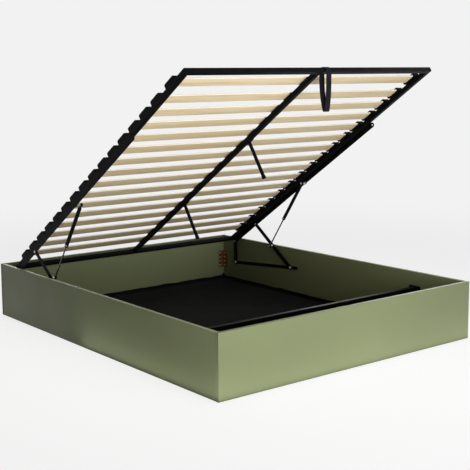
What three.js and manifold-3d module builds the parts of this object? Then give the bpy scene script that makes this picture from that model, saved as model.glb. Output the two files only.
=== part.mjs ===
// Ottoman storage bed, drawn with its slatted lid held open.
// Millimetres and degrees. +X is the right-hand side seen from the foot, +Y runs to the head, +Z is up.
// The origin lies on the floor under the middle of the box.
import * as THREE from "three";
import { mergeVertices } from "three/addons/utils/BufferGeometryUtils.js";
import Module from "manifold-3d";

const wasm = await Module();
wasm.setup();

// Clearances
const SEAT_GAP = 0.3; // between pieces that are screwed or glued together
const PLATE_GAP = 0.5; // between plates that swing past each other
const PIN_CLEARANCE = 0.3; // pin in its hole
const LID_END_GAP = 11; // lid frame to the foot and head panels when it is closed
const REST_GAP = 2; // lid frame over the crossbar, and legs over the liner, when it is closed

// Box of four panels
const BOX_WIDTH = 1640;
const BOX_LENGTH = 2040;
const BOX_HEIGHT = 300;
const PANEL_THICKNESS = 20;
const PANEL_EDGE_RADIUS = 2;

// Corner brackets, folded from perforated strip
const BRACKET_HEIGHT = 110;
const BRACKET_WING = 42;
const BRACKET_THICKNESS = 2;
const BRACKET_BOTTOM = 85;
const BRACKET_HOLE = 7;
const BRACKET_COLUMNS = 2;
const BRACKET_ROWS = 4;

// Floor liner, turned up along the walls
const LINER_THICKNESS = 1.5;
const LINER_UPSTAND = 28;

// Frame of the lid, welded from square tube
const TUBE = 25;
const TUBE_WALL = 1.5;
const TUBE_RADIUS = 3;
const RAIL_ABOVE_PIVOT = 9; // underside of the frame over the line of the hinge pivots
const LID_TILT = 33.6;

// Slats
const SLAT_COUNT = 16;
const SLAT_WIDTH = 63;
const SLAT_THICKNESS = 8;
const SLAT_CHAMFER = 2.5;
const SLAT_FIRST = 124; // middle of the first slat from the foot end of the frame
const SLAT_FIRST_PITCH = 134; // the first slat stands further from the second than the rest from each other
const SLAT_LAST = 141; // middle of the last slat from the head end of the frame

// Slat holders, moulded caps on the side rails
const HOLDER_LENGTH = 80;
const HOLDER_HEIGHT = 20;
const HOLDER_SHOULDER = 14;
const HOLDER_FLOOR = 4;
const HOLDER_END_WALL = 4;
const HOLDER_OVERHANG = 9; // past the inner face of the rail
const HOLDER_LIP = 2.5;
const HOLDER_EAR = 6; // the mouth lip stands out this far past the cap, and ends in a point
const HOLDER_EAR_HEIGHT = 9;
const HOLDER_LIP_RISE = 1; // crown of the mouth lip over the cap
const HOLDER_LIP_STEP = 2; // its shoulders under the crown of the cap
const POCKET_CLEARANCE = 0.4;

// Saddles that carry the slats on the centre rail
const SADDLE_WIDTH = 28;
const SADDLE_LIP = 4;
const SADDLE_LIP_RISE = 6;

// Centre legs under the lid
const LEG_DIAMETER = 16;
const LEG_WALL = 1.5;
const LEG_FROM_FOOT = [639, 1329];
const LEG_PLATE_LENGTH = 60;
const LEG_PLATE_THICKNESS = 2.5;
const GLIDE_DIAMETER = 21;
const GLIDE_HEIGHT = 16;
const GLIDE_FLOOR = 5;
const GLIDE_BEVEL = 2;

// Lift hinges: a four-bar linkage on each side, in the Y-Z plane
const REAR_PIVOT_BELOW_TOP = 166; // lower pivot of the rear link under the top of the box
const REAR_LINK_LENGTH = 143;
const REAR_LINK_OPEN = 88.4; // angle over the horizontal, head side, lid open
const REAR_LINK_CLOSED = 33.06; // the same with the lid closed
const BASE_RISE = 4.5; // slope of the base bar towards the foot
const LID_PIVOT_INSET = 8; // lid pivot of the rear link from the head end of the frame
const ARM_PIVOT_BACK = 258; // lid pivot of the lift arm from that of the rear link
const ARM_PIVOT_DROP = 5;
const STRUT_PIVOT_BACK = 811;
const STRUT_PIVOT_DROP = 11;
const STRUT_ON_ARM = 203; // strut stud along the lift arm
const LINK_WIDTH = 28;
const LINK_THICKNESS = 4;
const ARM_WIDTH = 24;
const BASE_WIDTH = 20;
const BASE_THICKNESS = 3;
const BASE_PAST_FRONT = 52;
const BASE_PAST_REAR = 14;
const BASE_SCREW_DIAMETER = 8;
const FLANGE_THICKNESS = 3;
const FLANGE_BELOW = 14.5; // side plate under the pivot line
const FLANGE_BELOW_NOSE = 18; // the same at its foot end
const FLANGE_ABOVE = 30;
const FLANGE_FROM_FOOT = 494;
const FLANGE_HOLE = 9;
const FLANGE_LUG = 17; // round ear of the side plate behind the strut stud
const PIN_DIAMETER = 10;
const SPACER_DIAMETER = 16;
const PIN_HEAD_DIAMETER = 18;
const PIN_HEAD_HEIGHT = 3.5;
const RIVET_HEAD_DIAMETER = 14;
const RIVET_HEAD_HEIGHT = 1.8;

// Gas struts
const STRUT_CYLINDER_DIAMETER = 20;
const STRUT_CYLINDER_LENGTH = 291; // pivot to mouth
const STRUT_BORE_DEPTH = 255;
const STRUT_ROD_DIAMETER = 8;
const STRUT_ROD_INSIDE = 30; // length of rod left in the cylinder, lid open
const STRUT_EYE_DIAMETER = 18;
const STRUT_EYE_WIDTH = 12;
const STRUT_EYE_NECK = 20;
const STRUT_INBOARD = 27.5; // strut centre line from the side plate
const STUD_DIAMETER = 8;
const STUD_COLLAR = 13;
const STUD_KEEPER = 2; // thickness of the round head that holds the eye

// Crossbar near the foot, on two brackets
const CROSSBAR_FROM_FOOT = 325; // middle of the bar from the inner face of the foot panel
const CROSSBAR_WIDTH = 25;
const CROSSBAR_HEIGHT = 40;
const CROSSBAR_WALL = 2;
const CROSSBAR_RADIUS = 3;
const CLEAT_LENGTH = 76;
const CLEAT_THICKNESS = 3;
const CLEAT_SHELF = 38;
const CLEAT_UPSTAND = 6;

// Pull strap, a loop of webbing round the foot rail
const STRAP_WIDTH = 27;
const STRAP_THICKNESS = 2;
const STRAP_DROP = 192; // from the middle of the rail
const STRAP_FROM_CENTRE = 45;
const STRAP_SPREAD = 17; // each strand to the side of the middle of the loop
const STRAP_STEPS = 9;

// Places worked out from the values above
const innerHalfWidth = BOX_WIDTH / 2 - PANEL_THICKNESS;
const innerHalfLength = BOX_LENGTH / 2 - PANEL_THICKNESS;
const baseOuter = innerHalfWidth - SEAT_GAP;
const baseInner = baseOuter - BASE_THICKNESS;
const linkOuter = baseInner - PLATE_GAP;
const linkInner = linkOuter - LINK_THICKNESS;
const flangeOuter = linkInner - PLATE_GAP;
const flangeInner = flangeOuter - FLANGE_THICKNESS;
const armOuter = flangeInner - PLATE_GAP;
const armInner = armOuter - LINK_THICKNESS;
const railOuter = flangeInner - SEAT_GAP;
const railMiddle = railOuter - TUBE / 2;
const railInner = railOuter - TUBE;
const strutX = flangeInner - STRUT_INBOARD;
const eyeOuter = strutX + STRUT_EYE_WIDTH / 2;
const eyeInner = strutX - STRUT_EYE_WIDTH / 2;

const lidLength = 2 * (innerHalfLength - LID_END_GAP);
const headEnd = LID_PIVOT_INSET;
const footEnd = headEnd - lidLength;
const railBottom = RAIL_ABOVE_PIVOT;
const railTop = railBottom + TUBE;
const slatSecond = SLAT_FIRST + SLAT_FIRST_PITCH;
const slatPitch = (lidLength - slatSecond - SLAT_LAST) / (SLAT_COUNT - 2);
const slatSeat = railTop + HOLDER_FLOOR + POCKET_CLEARANCE;
const holderInner = railInner - HOLDER_OVERHANG;
const slatHalfLength = railOuter - HOLDER_END_WALL - 2 * SEAT_GAP;

const radians = THREE.MathUtils.degToRad;
const yz = (y, z) => new THREE.Vector2(y, z);
const polar = (length, degrees) => yz(length * Math.cos(radians(degrees)), length * Math.sin(radians(degrees)));
const turned = (point, degrees) => point.clone().rotateAround(yz(0, 0), radians(degrees));

// Linkage: pivots on the box, then pivots on the lid with the lid closed and open
const rearPivotClosed = yz(
  innerHalfLength - LID_END_GAP - LID_PIVOT_INSET,
  BOX_HEIGHT - REAR_PIVOT_BELOW_TOP + REAR_LINK_LENGTH * Math.sin(radians(REAR_LINK_CLOSED)),
);
const rearPivotBox = rearPivotClosed.clone().sub(polar(REAR_LINK_LENGTH, REAR_LINK_CLOSED));
const rearPivotOpen = rearPivotBox.clone().add(polar(REAR_LINK_LENGTH, REAR_LINK_OPEN));
const armPivotOnLid = yz(-ARM_PIVOT_BACK, -ARM_PIVOT_DROP);
const strutPivotOnLid = yz(-STRUT_PIVOT_BACK, -STRUT_PIVOT_DROP);
const armPivotClosed = rearPivotClosed.clone().add(armPivotOnLid);
const armPivotOpen = rearPivotOpen.clone().add(turned(armPivotOnLid, -LID_TILT));
const strutPivotOpen = rearPivotOpen.clone().add(turned(strutPivotOnLid, -LID_TILT));
// The arm's pivot on the box is the point of the base bar that lies as far from both places of its lid pivot.
const baseDirection = yz(-Math.cos(radians(BASE_RISE)), Math.sin(radians(BASE_RISE)));
const armChord = armPivotClosed.clone().sub(armPivotOpen);
const armChordMiddle = armPivotClosed.clone().add(armPivotOpen).multiplyScalar(0.5);
const baseSpan = armChordMiddle.clone().sub(rearPivotBox).dot(armChord) / baseDirection.dot(armChord);
const armPivotBox = rearPivotBox.clone().addScaledVector(baseDirection, baseSpan);
const armVector = armPivotOpen.clone().sub(armPivotBox);
const armLength = armVector.length();
const armOpen = THREE.MathUtils.radToDeg(armVector.angle());
const strutStudOpen = armPivotBox.clone().add(polar(STRUT_ON_ARM, armOpen));
const strutVector = strutStudOpen.clone().sub(strutPivotOpen);
const strutLength = strutVector.length();
const strutOpen = THREE.MathUtils.radToDeg(strutVector.angle());

const closedRailBottom = rearPivotClosed.y + railBottom;
const crossbarTop = closedRailBottom - REST_GAP;
const crossbarY = CROSSBAR_FROM_FOOT - innerHalfLength;
const legLength = closedRailBottom - LINER_THICKNESS - REST_GAP;

// Finishes
const finish = (color, roughness, metalness) => new THREE.MeshStandardMaterial({ color, roughness, metalness });
const sageLacquer = () => finish(0x8b936e, 0.45, 0);
const blackSteel = () => finish(0x17181a, 0.4, 0.5);
const blackPlastic = () => finish(0x141414, 0.5, 0);
const zincSteel = () => finish(0xb8b8b6, 0.35, 0.9);
const bronzeSteel = () => finish(0x6b3f24, 0.45, 0.7);
const birch = () => finish(0xcdb58c, 0.6, 0);
const blackFelt = () => finish(0x161616, 0.95, 0);
const blackWebbing = () => finish(0x18181a, 0.85, 0);

// Geometry helpers
function solidOf(geometry) {
  const bare = geometry.clone();
  bare.deleteAttribute("normal");
  bare.deleteAttribute("uv");
  const merged = mergeVertices(bare, 1e-4);
  const mesh = new wasm.Mesh({
    numProp: 3,
    vertProperties: new Float32Array(merged.attributes.position.array),
    triVerts: new Uint32Array(merged.index.array),
  });
  return new wasm.Manifold(mesh);
}

function geometryOf(solid) {
  const mesh = solid.getMesh();
  const geometry = new THREE.BufferGeometry();
  geometry.setAttribute("position", new THREE.BufferAttribute(mesh.vertProperties, 3));
  geometry.setIndex(new THREE.BufferAttribute(mesh.triVerts, 1));
  const flat = geometry.toNonIndexed();
  flat.computeVertexNormals();
  return flat;
}

function join(...geometries) {
  return geometryOf(geometries.map(solidOf).reduce((whole, piece) => whole.add(piece)));
}

function cut(geometry, ...tools) {
  return geometryOf(tools.map(solidOf).reduce((rest, tool) => rest.subtract(tool), solidOf(geometry)));
}

function roundedRect(width, height, radius) {
  const x = width / 2;
  const y = height / 2;
  const shape = new THREE.Shape();
  shape.moveTo(x - radius, -y);
  shape.absarc(x - radius, radius - y, radius, -Math.PI / 2, 0);
  shape.absarc(x - radius, y - radius, radius, 0, Math.PI / 2);
  shape.absarc(radius - x, y - radius, radius, Math.PI / 2, Math.PI);
  shape.absarc(radius - x, radius - y, radius, Math.PI, 1.5 * Math.PI);
  return shape;
}

function polygon(points) {
  return new THREE.Shape(points.map(([x, y]) => new THREE.Vector2(x, y)));
}

function extrude(shape, depth, curveSegments = 3) {
  return new THREE.ExtrudeGeometry(shape, { depth, bevelEnabled: false, curveSegments });
}

// An outline drawn in Y and Z, carried along X from one place to another
function alongX(shape, from, to, curveSegments = 3) {
  const geometry = extrude(shape, to - from, curveSegments);
  const turn = new THREE.Matrix4().makeBasis(
    new THREE.Vector3(0, 1, 0),
    new THREE.Vector3(0, 0, 1),
    new THREE.Vector3(1, 0, 0),
  );
  return geometry.applyMatrix4(turn).translate(from, 0, 0);
}

function box(width, length, height) {
  return new THREE.BoxGeometry(width, length, height);
}

// A cylinder or cone whose axis lies along X
function discX(diameter, from, to, y = 0, z = 0, sides = 16, endDiameter = diameter) {
  const geometry = new THREE.CylinderGeometry(endDiameter / 2, diameter / 2, to - from, sides);
  return geometry.rotateZ(-Math.PI / 2).translate((from + to) / 2, y, z);
}

// Rings of points, all of one count, joined into an endless skin: the last ring meets the first
function endlessLoft(rings) {
  const count = rings[0].length;
  const positions = rings.flat().flatMap((point) => [point.x, point.y, point.z]);
  const faces = [];
  for (let i = 0; i < rings.length; i++) {
    const near = i * count;
    const far = ((i + 1) % rings.length) * count;
    for (let j = 0; j < count; j++) {
      const next = (j + 1) % count;
      faces.push(near + j, near + next, far + next);
      faces.push(near + j, far + next, far + j);
    }
  }
  const geometry = new THREE.BufferGeometry();
  geometry.setAttribute("position", new THREE.Float32BufferAttribute(positions, 3));
  geometry.setIndex(faces);
  geometry.computeVertexNormals();
  return geometry;
}

function named(name, geometry, material) {
  const mesh = new THREE.Mesh(geometry, material);
  mesh.name = name;
  return mesh;
}

// Box panels
function panelGeometry(length) {
  const edge = roundedRect(PANEL_THICKNESS, BOX_HEIGHT, PANEL_EDGE_RADIUS);
  return alongX(edge, -length / 2, length / 2).translate(0, 0, BOX_HEIGHT / 2);
}

function endPanel(name, side) {
  const panel = named(name, panelGeometry(BOX_WIDTH), sageLacquer());
  panel.position.y = side * (innerHalfLength + PANEL_THICKNESS / 2);
  return panel;
}

function sidePanel(name, side) {
  const length = 2 * (innerHalfLength - SEAT_GAP);
  const panel = named(name, panelGeometry(length), sageLacquer());
  panel.rotation.z = Math.PI / 2;
  panel.position.x = side * (innerHalfWidth + PANEL_THICKNESS / 2);
  return panel;
}

// Perforated corner bracket for the corner at +X and +Y, mirrored by its group for the others
function bracketGeometry() {
  const reach = BRACKET_WING;
  const t = BRACKET_THICKNESS;
  const section = polygon([
    [0, 0],
    [-reach, 0],
    [-reach, -t],
    [-t, -t],
    [-t, -reach],
    [0, -reach],
  ]);
  const folded = extrude(section, BRACKET_HEIGHT);
  const holes = [];
  for (let column = 0; column < BRACKET_COLUMNS; column++) {
    for (let row = 0; row < BRACKET_ROWS; row++) {
      const along = -reach * ((column + 0.75) / (BRACKET_COLUMNS + 0.25));
      const up = BRACKET_HEIGHT * ((row + 0.5) / BRACKET_ROWS);
      const drill = new THREE.CylinderGeometry(BRACKET_HOLE / 2, BRACKET_HOLE / 2, 3 * t, 5);
      holes.push(drill.clone().translate(along, -t / 2, up));
      holes.push(drill.clone().rotateZ(Math.PI / 2).translate(-t / 2, along, up));
    }
  }
  return cut(folded, ...holes);
}

function cornerBracket(name, sideX, sideY) {
  const corner = new THREE.Group();
  corner.scale.set(sideX, sideY, 1);
  const bracket = named(name, bracketGeometry(), bronzeSteel());
  bracket.position.set(innerHalfWidth - SEAT_GAP, innerHalfLength - SEAT_GAP, BRACKET_BOTTOM);
  corner.add(bracket);
  return corner;
}

function floorLiner() {
  const width = 2 * (innerHalfWidth - SEAT_GAP);
  const length = 2 * (innerHalfLength - SEAT_GAP);
  const tray = box(width, length, LINER_UPSTAND).translate(0, 0, LINER_UPSTAND / 2);
  const inside = box(width - 2 * LINER_THICKNESS, length - 2 * LINER_THICKNESS, LINER_UPSTAND);
  inside.translate(0, 0, LINER_UPSTAND / 2 + LINER_THICKNESS);
  return named("floor_liner", cut(tray, inside), blackFelt());
}

// Crossbar and its brackets
function tubeShape(width, height, wall, radius) {
  const shape = roundedRect(width, height, radius);
  const x = width / 2 - wall;
  const y = height / 2 - wall;
  const inside = new THREE.Path();
  inside.moveTo(-x, -y);
  inside.lineTo(-x, y);
  inside.lineTo(x, y);
  inside.lineTo(x, -y);
  shape.holes.push(inside);
  return shape;
}

function crossbar() {
  const half = innerHalfWidth - 2 * SEAT_GAP - CLEAT_THICKNESS;
  const section = tubeShape(CROSSBAR_WIDTH, CROSSBAR_HEIGHT, CROSSBAR_WALL, CROSSBAR_RADIUS);
  const bar = named("crossbar", alongX(section, -half, half, 2), blackSteel());
  bar.position.set(0, crossbarY, crossbarTop - CROSSBAR_HEIGHT / 2);
  return bar;
}

// Bracket for the right-hand wall: a plate on the wall, a shelf under the bar and an ear on each side of it
function cleatGeometry() {
  const outer = innerHalfWidth - SEAT_GAP;
  const shelfTop = crossbarTop - CROSSBAR_HEIGHT - SEAT_GAP;
  const shelfBottom = shelfTop - CLEAT_THICKNESS;
  const plateTop = crossbarTop - SEAT_GAP + CLEAT_UPSTAND;
  const plate = roundedRect(CLEAT_LENGTH, plateTop - shelfBottom, CLEAT_UPSTAND);
  const wallPlate = alongX(plate, outer - CLEAT_THICKNESS, outer).translate(0, 0, (plateTop + shelfBottom) / 2);
  const inside = CROSSBAR_WIDTH + 2 * SEAT_GAP;
  const outside = inside + 2 * CLEAT_THICKNESS;
  const earTop = (shelfTop + crossbarTop) / 2;
  const cradle = polygon([
    [-outside / 2, shelfBottom],
    [outside / 2, shelfBottom],
    [outside / 2, earTop],
    [inside / 2, earTop],
    [inside / 2, shelfTop],
    [-inside / 2, shelfTop],
    [-inside / 2, earTop],
    [-outside / 2, earTop],
  ]);
  return join(wallPlate, alongX(cradle, outer - CLEAT_SHELF, outer - CLEAT_THICKNESS / 2));
}

function crossbarBracket(name) {
  const bracket = named(name, cleatGeometry(), blackSteel());
  bracket.position.y = crossbarY;
  return bracket;
}

// Flat bar with round ends and holes, drawn along local +Y from its first pivot
function barShape(length, width, before, after) {
  const shape = new THREE.Shape();
  shape.absarc(length + after - width / 2, 0, width / 2, -Math.PI / 2, Math.PI / 2);
  shape.absarc(width / 2 - before, 0, width / 2, Math.PI / 2, 1.5 * Math.PI);
  return shape;
}

function roundHole(shape, diameter, y, z = 0) {
  const hole = new THREE.Path();
  hole.absarc(y, z, diameter / 2, 0, 2 * Math.PI, true);
  shape.holes.push(hole);
}

// Base bar on the side panel, from the rear pivot towards the foot
function hingeBase(name) {
  const shape = barShape(baseSpan, BASE_WIDTH, BASE_PAST_REAR, BASE_PAST_FRONT);
  const pinHole = PIN_DIAMETER + 2 * PIN_CLEARANCE;
  roundHole(shape, pinHole, 0);
  roundHole(shape, pinHole, baseSpan);
  const screws = [0.12 * baseSpan, 0.52 * baseSpan, baseSpan + 0.62 * BASE_PAST_FRONT];
  screws.forEach((along) => roundHole(shape, BASE_SCREW_DIAMETER, along));
  const bar = named(name, alongX(shape, baseInner, baseOuter, 5), blackSteel());
  bar.position.set(0, rearPivotBox.x, rearPivotBox.y);
  bar.rotation.x = Math.atan2(baseDirection.y, baseDirection.x);
  return bar;
}

// Pin that stands on the base bar and carries a link: a shank with a domed head
function pinGeometry(from, to, headDiameter, headHeight) {
  const shank = PIN_DIAMETER / 2;
  const head = headDiameter / 2;
  const profile = [
    [0, to],
    [shank, to],
    [shank, from],
    [head, from],
    [head, from - headHeight * 0.4],
    [head * 0.62, from - headHeight],
    [0, from - headHeight],
  ];
  const points = profile.map(([r, x]) => new THREE.Vector2(r, x)).reverse();
  return new THREE.LatheGeometry(points, 12).rotateZ(-Math.PI / 2);
}

function basePin(name, pivot, geometry) {
  const pin = named(name, geometry, zincSteel());
  pin.position.set(0, pivot.x, pivot.y);
  return pin;
}

function rearPin(name) {
  return basePin(name, rearPivotBox, pinGeometry(linkInner - SEAT_GAP, baseOuter, PIN_HEAD_DIAMETER, PIN_HEAD_HEIGHT));
}

// The lift arm runs inside the side plate, so its pin has a spacer between the arm and the base bar.
function armPin(name) {
  const pin = pinGeometry(armInner - SEAT_GAP, baseOuter, PIN_HEAD_DIAMETER, PIN_HEAD_HEIGHT);
  const spacer = discX(SPACER_DIAMETER, armOuter + PLATE_GAP, baseInner - SEAT_GAP);
  return basePin(name, armPivotBox, join(pin, spacer));
}

// Pin that joins the lift arm to the side plate of the lid
function lidPin(name) {
  const headFrom = armInner - SEAT_GAP;
  const headTo = flangeOuter + SEAT_GAP;
  const shankAndHead = pinGeometry(headFrom, headTo + RIVET_HEAD_HEIGHT / 2, RIVET_HEAD_DIAMETER, RIVET_HEAD_HEIGHT);
  const outerHead = discX(RIVET_HEAD_DIAMETER, headTo, headTo + RIVET_HEAD_HEIGHT);
  const pin = named(name, join(shankAndHead, outerHead), zincSteel());
  pin.position.set(0, armPivotOnLid.x, armPivotOnLid.y);
  return pin;
}

// Rear link with a rivet head on its outer face where it meets the lid
function rearLink(name) {
  const shape = barShape(REAR_LINK_LENGTH, LINK_WIDTH, LINK_WIDTH / 2, LINK_WIDTH / 2);
  roundHole(shape, PIN_DIAMETER + 2 * PIN_CLEARANCE, 0);
  const bar = alongX(shape, linkInner, linkOuter, 5);
  const rivet = discX(RIVET_HEAD_DIAMETER, linkOuter - 1, linkOuter + RIVET_HEAD_HEIGHT, REAR_LINK_LENGTH, 0, 12);
  const link = named(name, join(bar, rivet), blackSteel());
  link.position.set(0, rearPivotBox.x, rearPivotBox.y);
  link.rotation.x = radians(REAR_LINK_OPEN);
  return link;
}

// Lift arm with a boss for the strut on its inner face
function armGeometry() {
  const shape = barShape(armLength, ARM_WIDTH, ARM_WIDTH / 2, ARM_WIDTH / 2);
  roundHole(shape, PIN_DIAMETER + 2 * PIN_CLEARANCE, 0);
  roundHole(shape, PIN_DIAMETER + 2 * PIN_CLEARANCE, armLength);
  const bar = alongX(shape, armInner, armOuter, 5);
  const boss = discX(STUD_COLLAR, eyeOuter + PLATE_GAP, armInner + 1, STRUT_ON_ARM, 0, 12);
  return join(bar, boss);
}

function liftArm(name) {
  const arm = named(name, armGeometry(), blackSteel());
  arm.position.set(0, armPivotBox.x, armPivotBox.y);
  arm.rotation.x = radians(armOpen);
  return arm;
}

// Gas strut, drawn along local +Y from its upper eye
function eyeDisc() {
  return discX(STRUT_EYE_DIAMETER, eyeInner, eyeOuter, 0, 0, 14);
}

function revolvedY(profile, sides) {
  const points = profile.map(([r, y]) => new THREE.Vector2(r, y));
  return new THREE.LatheGeometry(points, sides).translate(strutX, 0, 0);
}

function strutCylinder(name) {
  const r = STRUT_CYLINDER_DIAMETER / 2;
  const bore = STRUT_ROD_DIAMETER / 2 + PIN_CLEARANCE;
  const boreEnd = STRUT_CYLINDER_LENGTH - STRUT_BORE_DEPTH;
  const neck = STRUT_EYE_DIAMETER / 2 - 1;
  const body = revolvedY(
    [
      [0, neck],
      [0.45 * r, neck],
      [0.45 * r, STRUT_EYE_NECK],
      [0.8 * r, STRUT_EYE_NECK],
      [r, STRUT_EYE_NECK + 3],
      [r, STRUT_CYLINDER_LENGTH - 4],
      [0.75 * r, STRUT_CYLINDER_LENGTH],
      [bore, STRUT_CYLINDER_LENGTH],
      [bore, boreEnd],
      [0, boreEnd],
    ],
    14,
  );
  const hole = discX(STUD_DIAMETER + 2 * PIN_CLEARANCE, eyeInner - 1, eyeOuter + 1, 0, 0, 12);
  const cylinder = named(name, cut(join(eyeDisc(), body), hole), blackSteel());
  cylinder.position.set(0, strutPivotOpen.x, strutPivotOpen.y);
  cylinder.rotation.x = radians(strutOpen);
  return cylinder;
}

// The rod ends in an eye with its bolt head. It faces the boss of the lift arm across a plate gap.
function strutRod(name) {
  const r = STRUT_ROD_DIAMETER / 2;
  const inner = STRUT_CYLINDER_LENGTH - STRUT_ROD_INSIDE;
  const neck = strutLength - STRUT_EYE_DIAMETER / 2 + 1;
  const socketFrom = strutLength - STRUT_EYE_NECK;
  const rod = revolvedY(
    [
      [0, inner],
      [r, inner],
      [r, socketFrom],
      [1.5 * r, socketFrom],
      [1.5 * r, neck],
      [0, neck],
    ],
    12,
  );
  const head = discX(STUD_COLLAR, eyeInner - STUD_KEEPER, eyeInner + 1, 0, 0, 12);
  const eye = join(eyeDisc(), head).translate(0, strutLength, 0);
  const mesh = named(name, join(rod, eye), zincSteel());
  mesh.position.set(0, strutPivotOpen.x, strutPivotOpen.y);
  mesh.rotation.x = radians(strutOpen);
  return mesh;
}

// Lid frame: tubes mitred at the corners, drawn along X; outward is the sign of Y on the longer face
function mitredTube(length, outward) {
  const section = tubeShape(TUBE, TUBE, TUBE_WALL, TUBE_RADIUS);
  const geometry = alongX(section, -length / 2, length / 2, 2);
  const position = geometry.attributes.position;
  for (let i = 0; i < position.count; i++) {
    const end = Math.sign(position.getX(i));
    const shortening = TUBE / 2 - outward * position.getY(i);
    position.setX(i, position.getX(i) - end * shortening);
  }
  return geometry;
}

function holderGeometry() {
  const half = HOLDER_LENGTH / 2;
  const sink = TUBE_WALL / 2;
  const corner = HOLDER_HEIGHT - HOLDER_SHOULDER;
  const cap = new THREE.Shape();
  cap.moveTo(-half, -sink);
  cap.lineTo(half, -sink);
  cap.lineTo(half, HOLDER_SHOULDER);
  cap.quadraticCurveTo(half, HOLDER_HEIGHT, half - 2 * corner, HOLDER_HEIGHT);
  cap.lineTo(2 * corner - half, HOLDER_HEIGHT);
  cap.quadraticCurveTo(-half, HOLDER_HEIGHT, -half, HOLDER_SHOULDER);
  const lipHalf = half + HOLDER_EAR;
  const lip = new THREE.Shape();
  lip.moveTo(-half, -3 * sink);
  lip.quadraticCurveTo(0, -3 * sink - HOLDER_FLOOR, half, -3 * sink);
  lip.lineTo(lipHalf, HOLDER_EAR_HEIGHT);
  lip.lineTo(half, HOLDER_HEIGHT - HOLDER_LIP_STEP);
  lip.lineTo(half - 2 * corner, HOLDER_HEIGHT + HOLDER_LIP_RISE);
  lip.lineTo(2 * corner - half, HOLDER_HEIGHT + HOLDER_LIP_RISE);
  lip.lineTo(-half, HOLDER_HEIGHT - HOLDER_LIP_STEP);
  lip.lineTo(-lipHalf, HOLDER_EAR_HEIGHT);
  const body = alongX(cap, holderInner, railOuter, 2);
  const mouth = alongX(lip, holderInner - HOLDER_LIP, holderInner + 0.5, 2);
  const pocketWidth = SLAT_WIDTH + 2 * POCKET_CLEARANCE;
  const pocketHeight = SLAT_THICKNESS + 2 * POCKET_CLEARANCE;
  const pocketFrom = holderInner - HOLDER_LIP - 1;
  const pocketTo = railOuter - HOLDER_END_WALL;
  const pocket = box(pocketTo - pocketFrom, pocketWidth, pocketHeight);
  pocket.translate((pocketFrom + pocketTo) / 2, 0, HOLDER_FLOOR + pocketHeight / 2);
  return cut(join(body, mouth), pocket);
}

function slatPlaces() {
  const evenPlaces = Array.from({ length: SLAT_COUNT - 1 }, (_, i) => footEnd + slatSecond + i * slatPitch);
  return [footEnd + SLAT_FIRST, ...evenPlaces];
}

// Side rail for the right-hand side with its row of slat holders
function sideRail(name) {
  const tube = mitredTube(lidLength, -1).rotateZ(Math.PI / 2);
  tube.translate(railMiddle, (headEnd + footEnd) / 2, (railBottom + railTop) / 2);
  const holder = holderGeometry();
  const holders = slatPlaces().map((y) => holder.clone().translate(0, y, railTop));
  return named(name, join(tube, ...holders), blackSteel());
}

function crossRail(name, y, facing) {
  const length = 2 * (railOuter - SEAT_GAP * Math.SQRT2);
  const tube = mitredTube(length, facing);
  const rail = named(name, tube, blackSteel());
  rail.position.set(0, y, (railBottom + railTop) / 2);
  return rail;
}

function saddleShape() {
  const inside = SLAT_WIDTH / 2 + SEAT_GAP;
  const outside = inside + SADDLE_LIP;
  const seat = slatSeat - SEAT_GAP;
  const foot = railTop - TUBE_WALL / 2;
  return polygon([
    [-inside, foot],
    [inside, foot],
    [outside, seat + SADDLE_LIP_RISE],
    [inside, seat + SADDLE_LIP_RISE],
    [inside, seat],
    [-inside, seat],
    [-inside, seat + SADDLE_LIP_RISE],
    [-outside, seat + SADDLE_LIP_RISE],
  ]);
}

function centreRail() {
  const half = lidLength / 2 - TUBE - SEAT_GAP;
  const section = tubeShape(TUBE, TUBE, TUBE_WALL, TUBE_RADIUS);
  const tube = alongX(section, -half, half, 2).rotateZ(Math.PI / 2);
  tube.translate(0, (headEnd + footEnd) / 2, (railBottom + railTop) / 2);
  const saddle = alongX(saddleShape(), -SADDLE_WIDTH / 2, SADDLE_WIDTH / 2);
  const saddles = slatPlaces().map((y) => saddle.clone().translate(0, y, 0));
  return named("centre_rail", join(tube, ...saddles), blackSteel());
}

// Slat with chamfered edges
function slatGeometry() {
  const w = SLAT_WIDTH / 2;
  const t = SLAT_THICKNESS / 2;
  const c = SLAT_CHAMFER;
  const outline = polygon([
    [w - c, -t],
    [w, c - t],
    [w, t - c],
    [w - c, t],
    [c - w, t],
    [-w, t - c],
    [-w, c - t],
    [c - w, -t],
  ]);
  return alongX(outline, -slatHalfLength, slatHalfLength);
}

function slat(name, y) {
  const mesh = named(name, slatGeometry(), birch());
  mesh.position.set(0, y, slatSeat + SLAT_THICKNESS / 2);
  return mesh;
}

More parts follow.
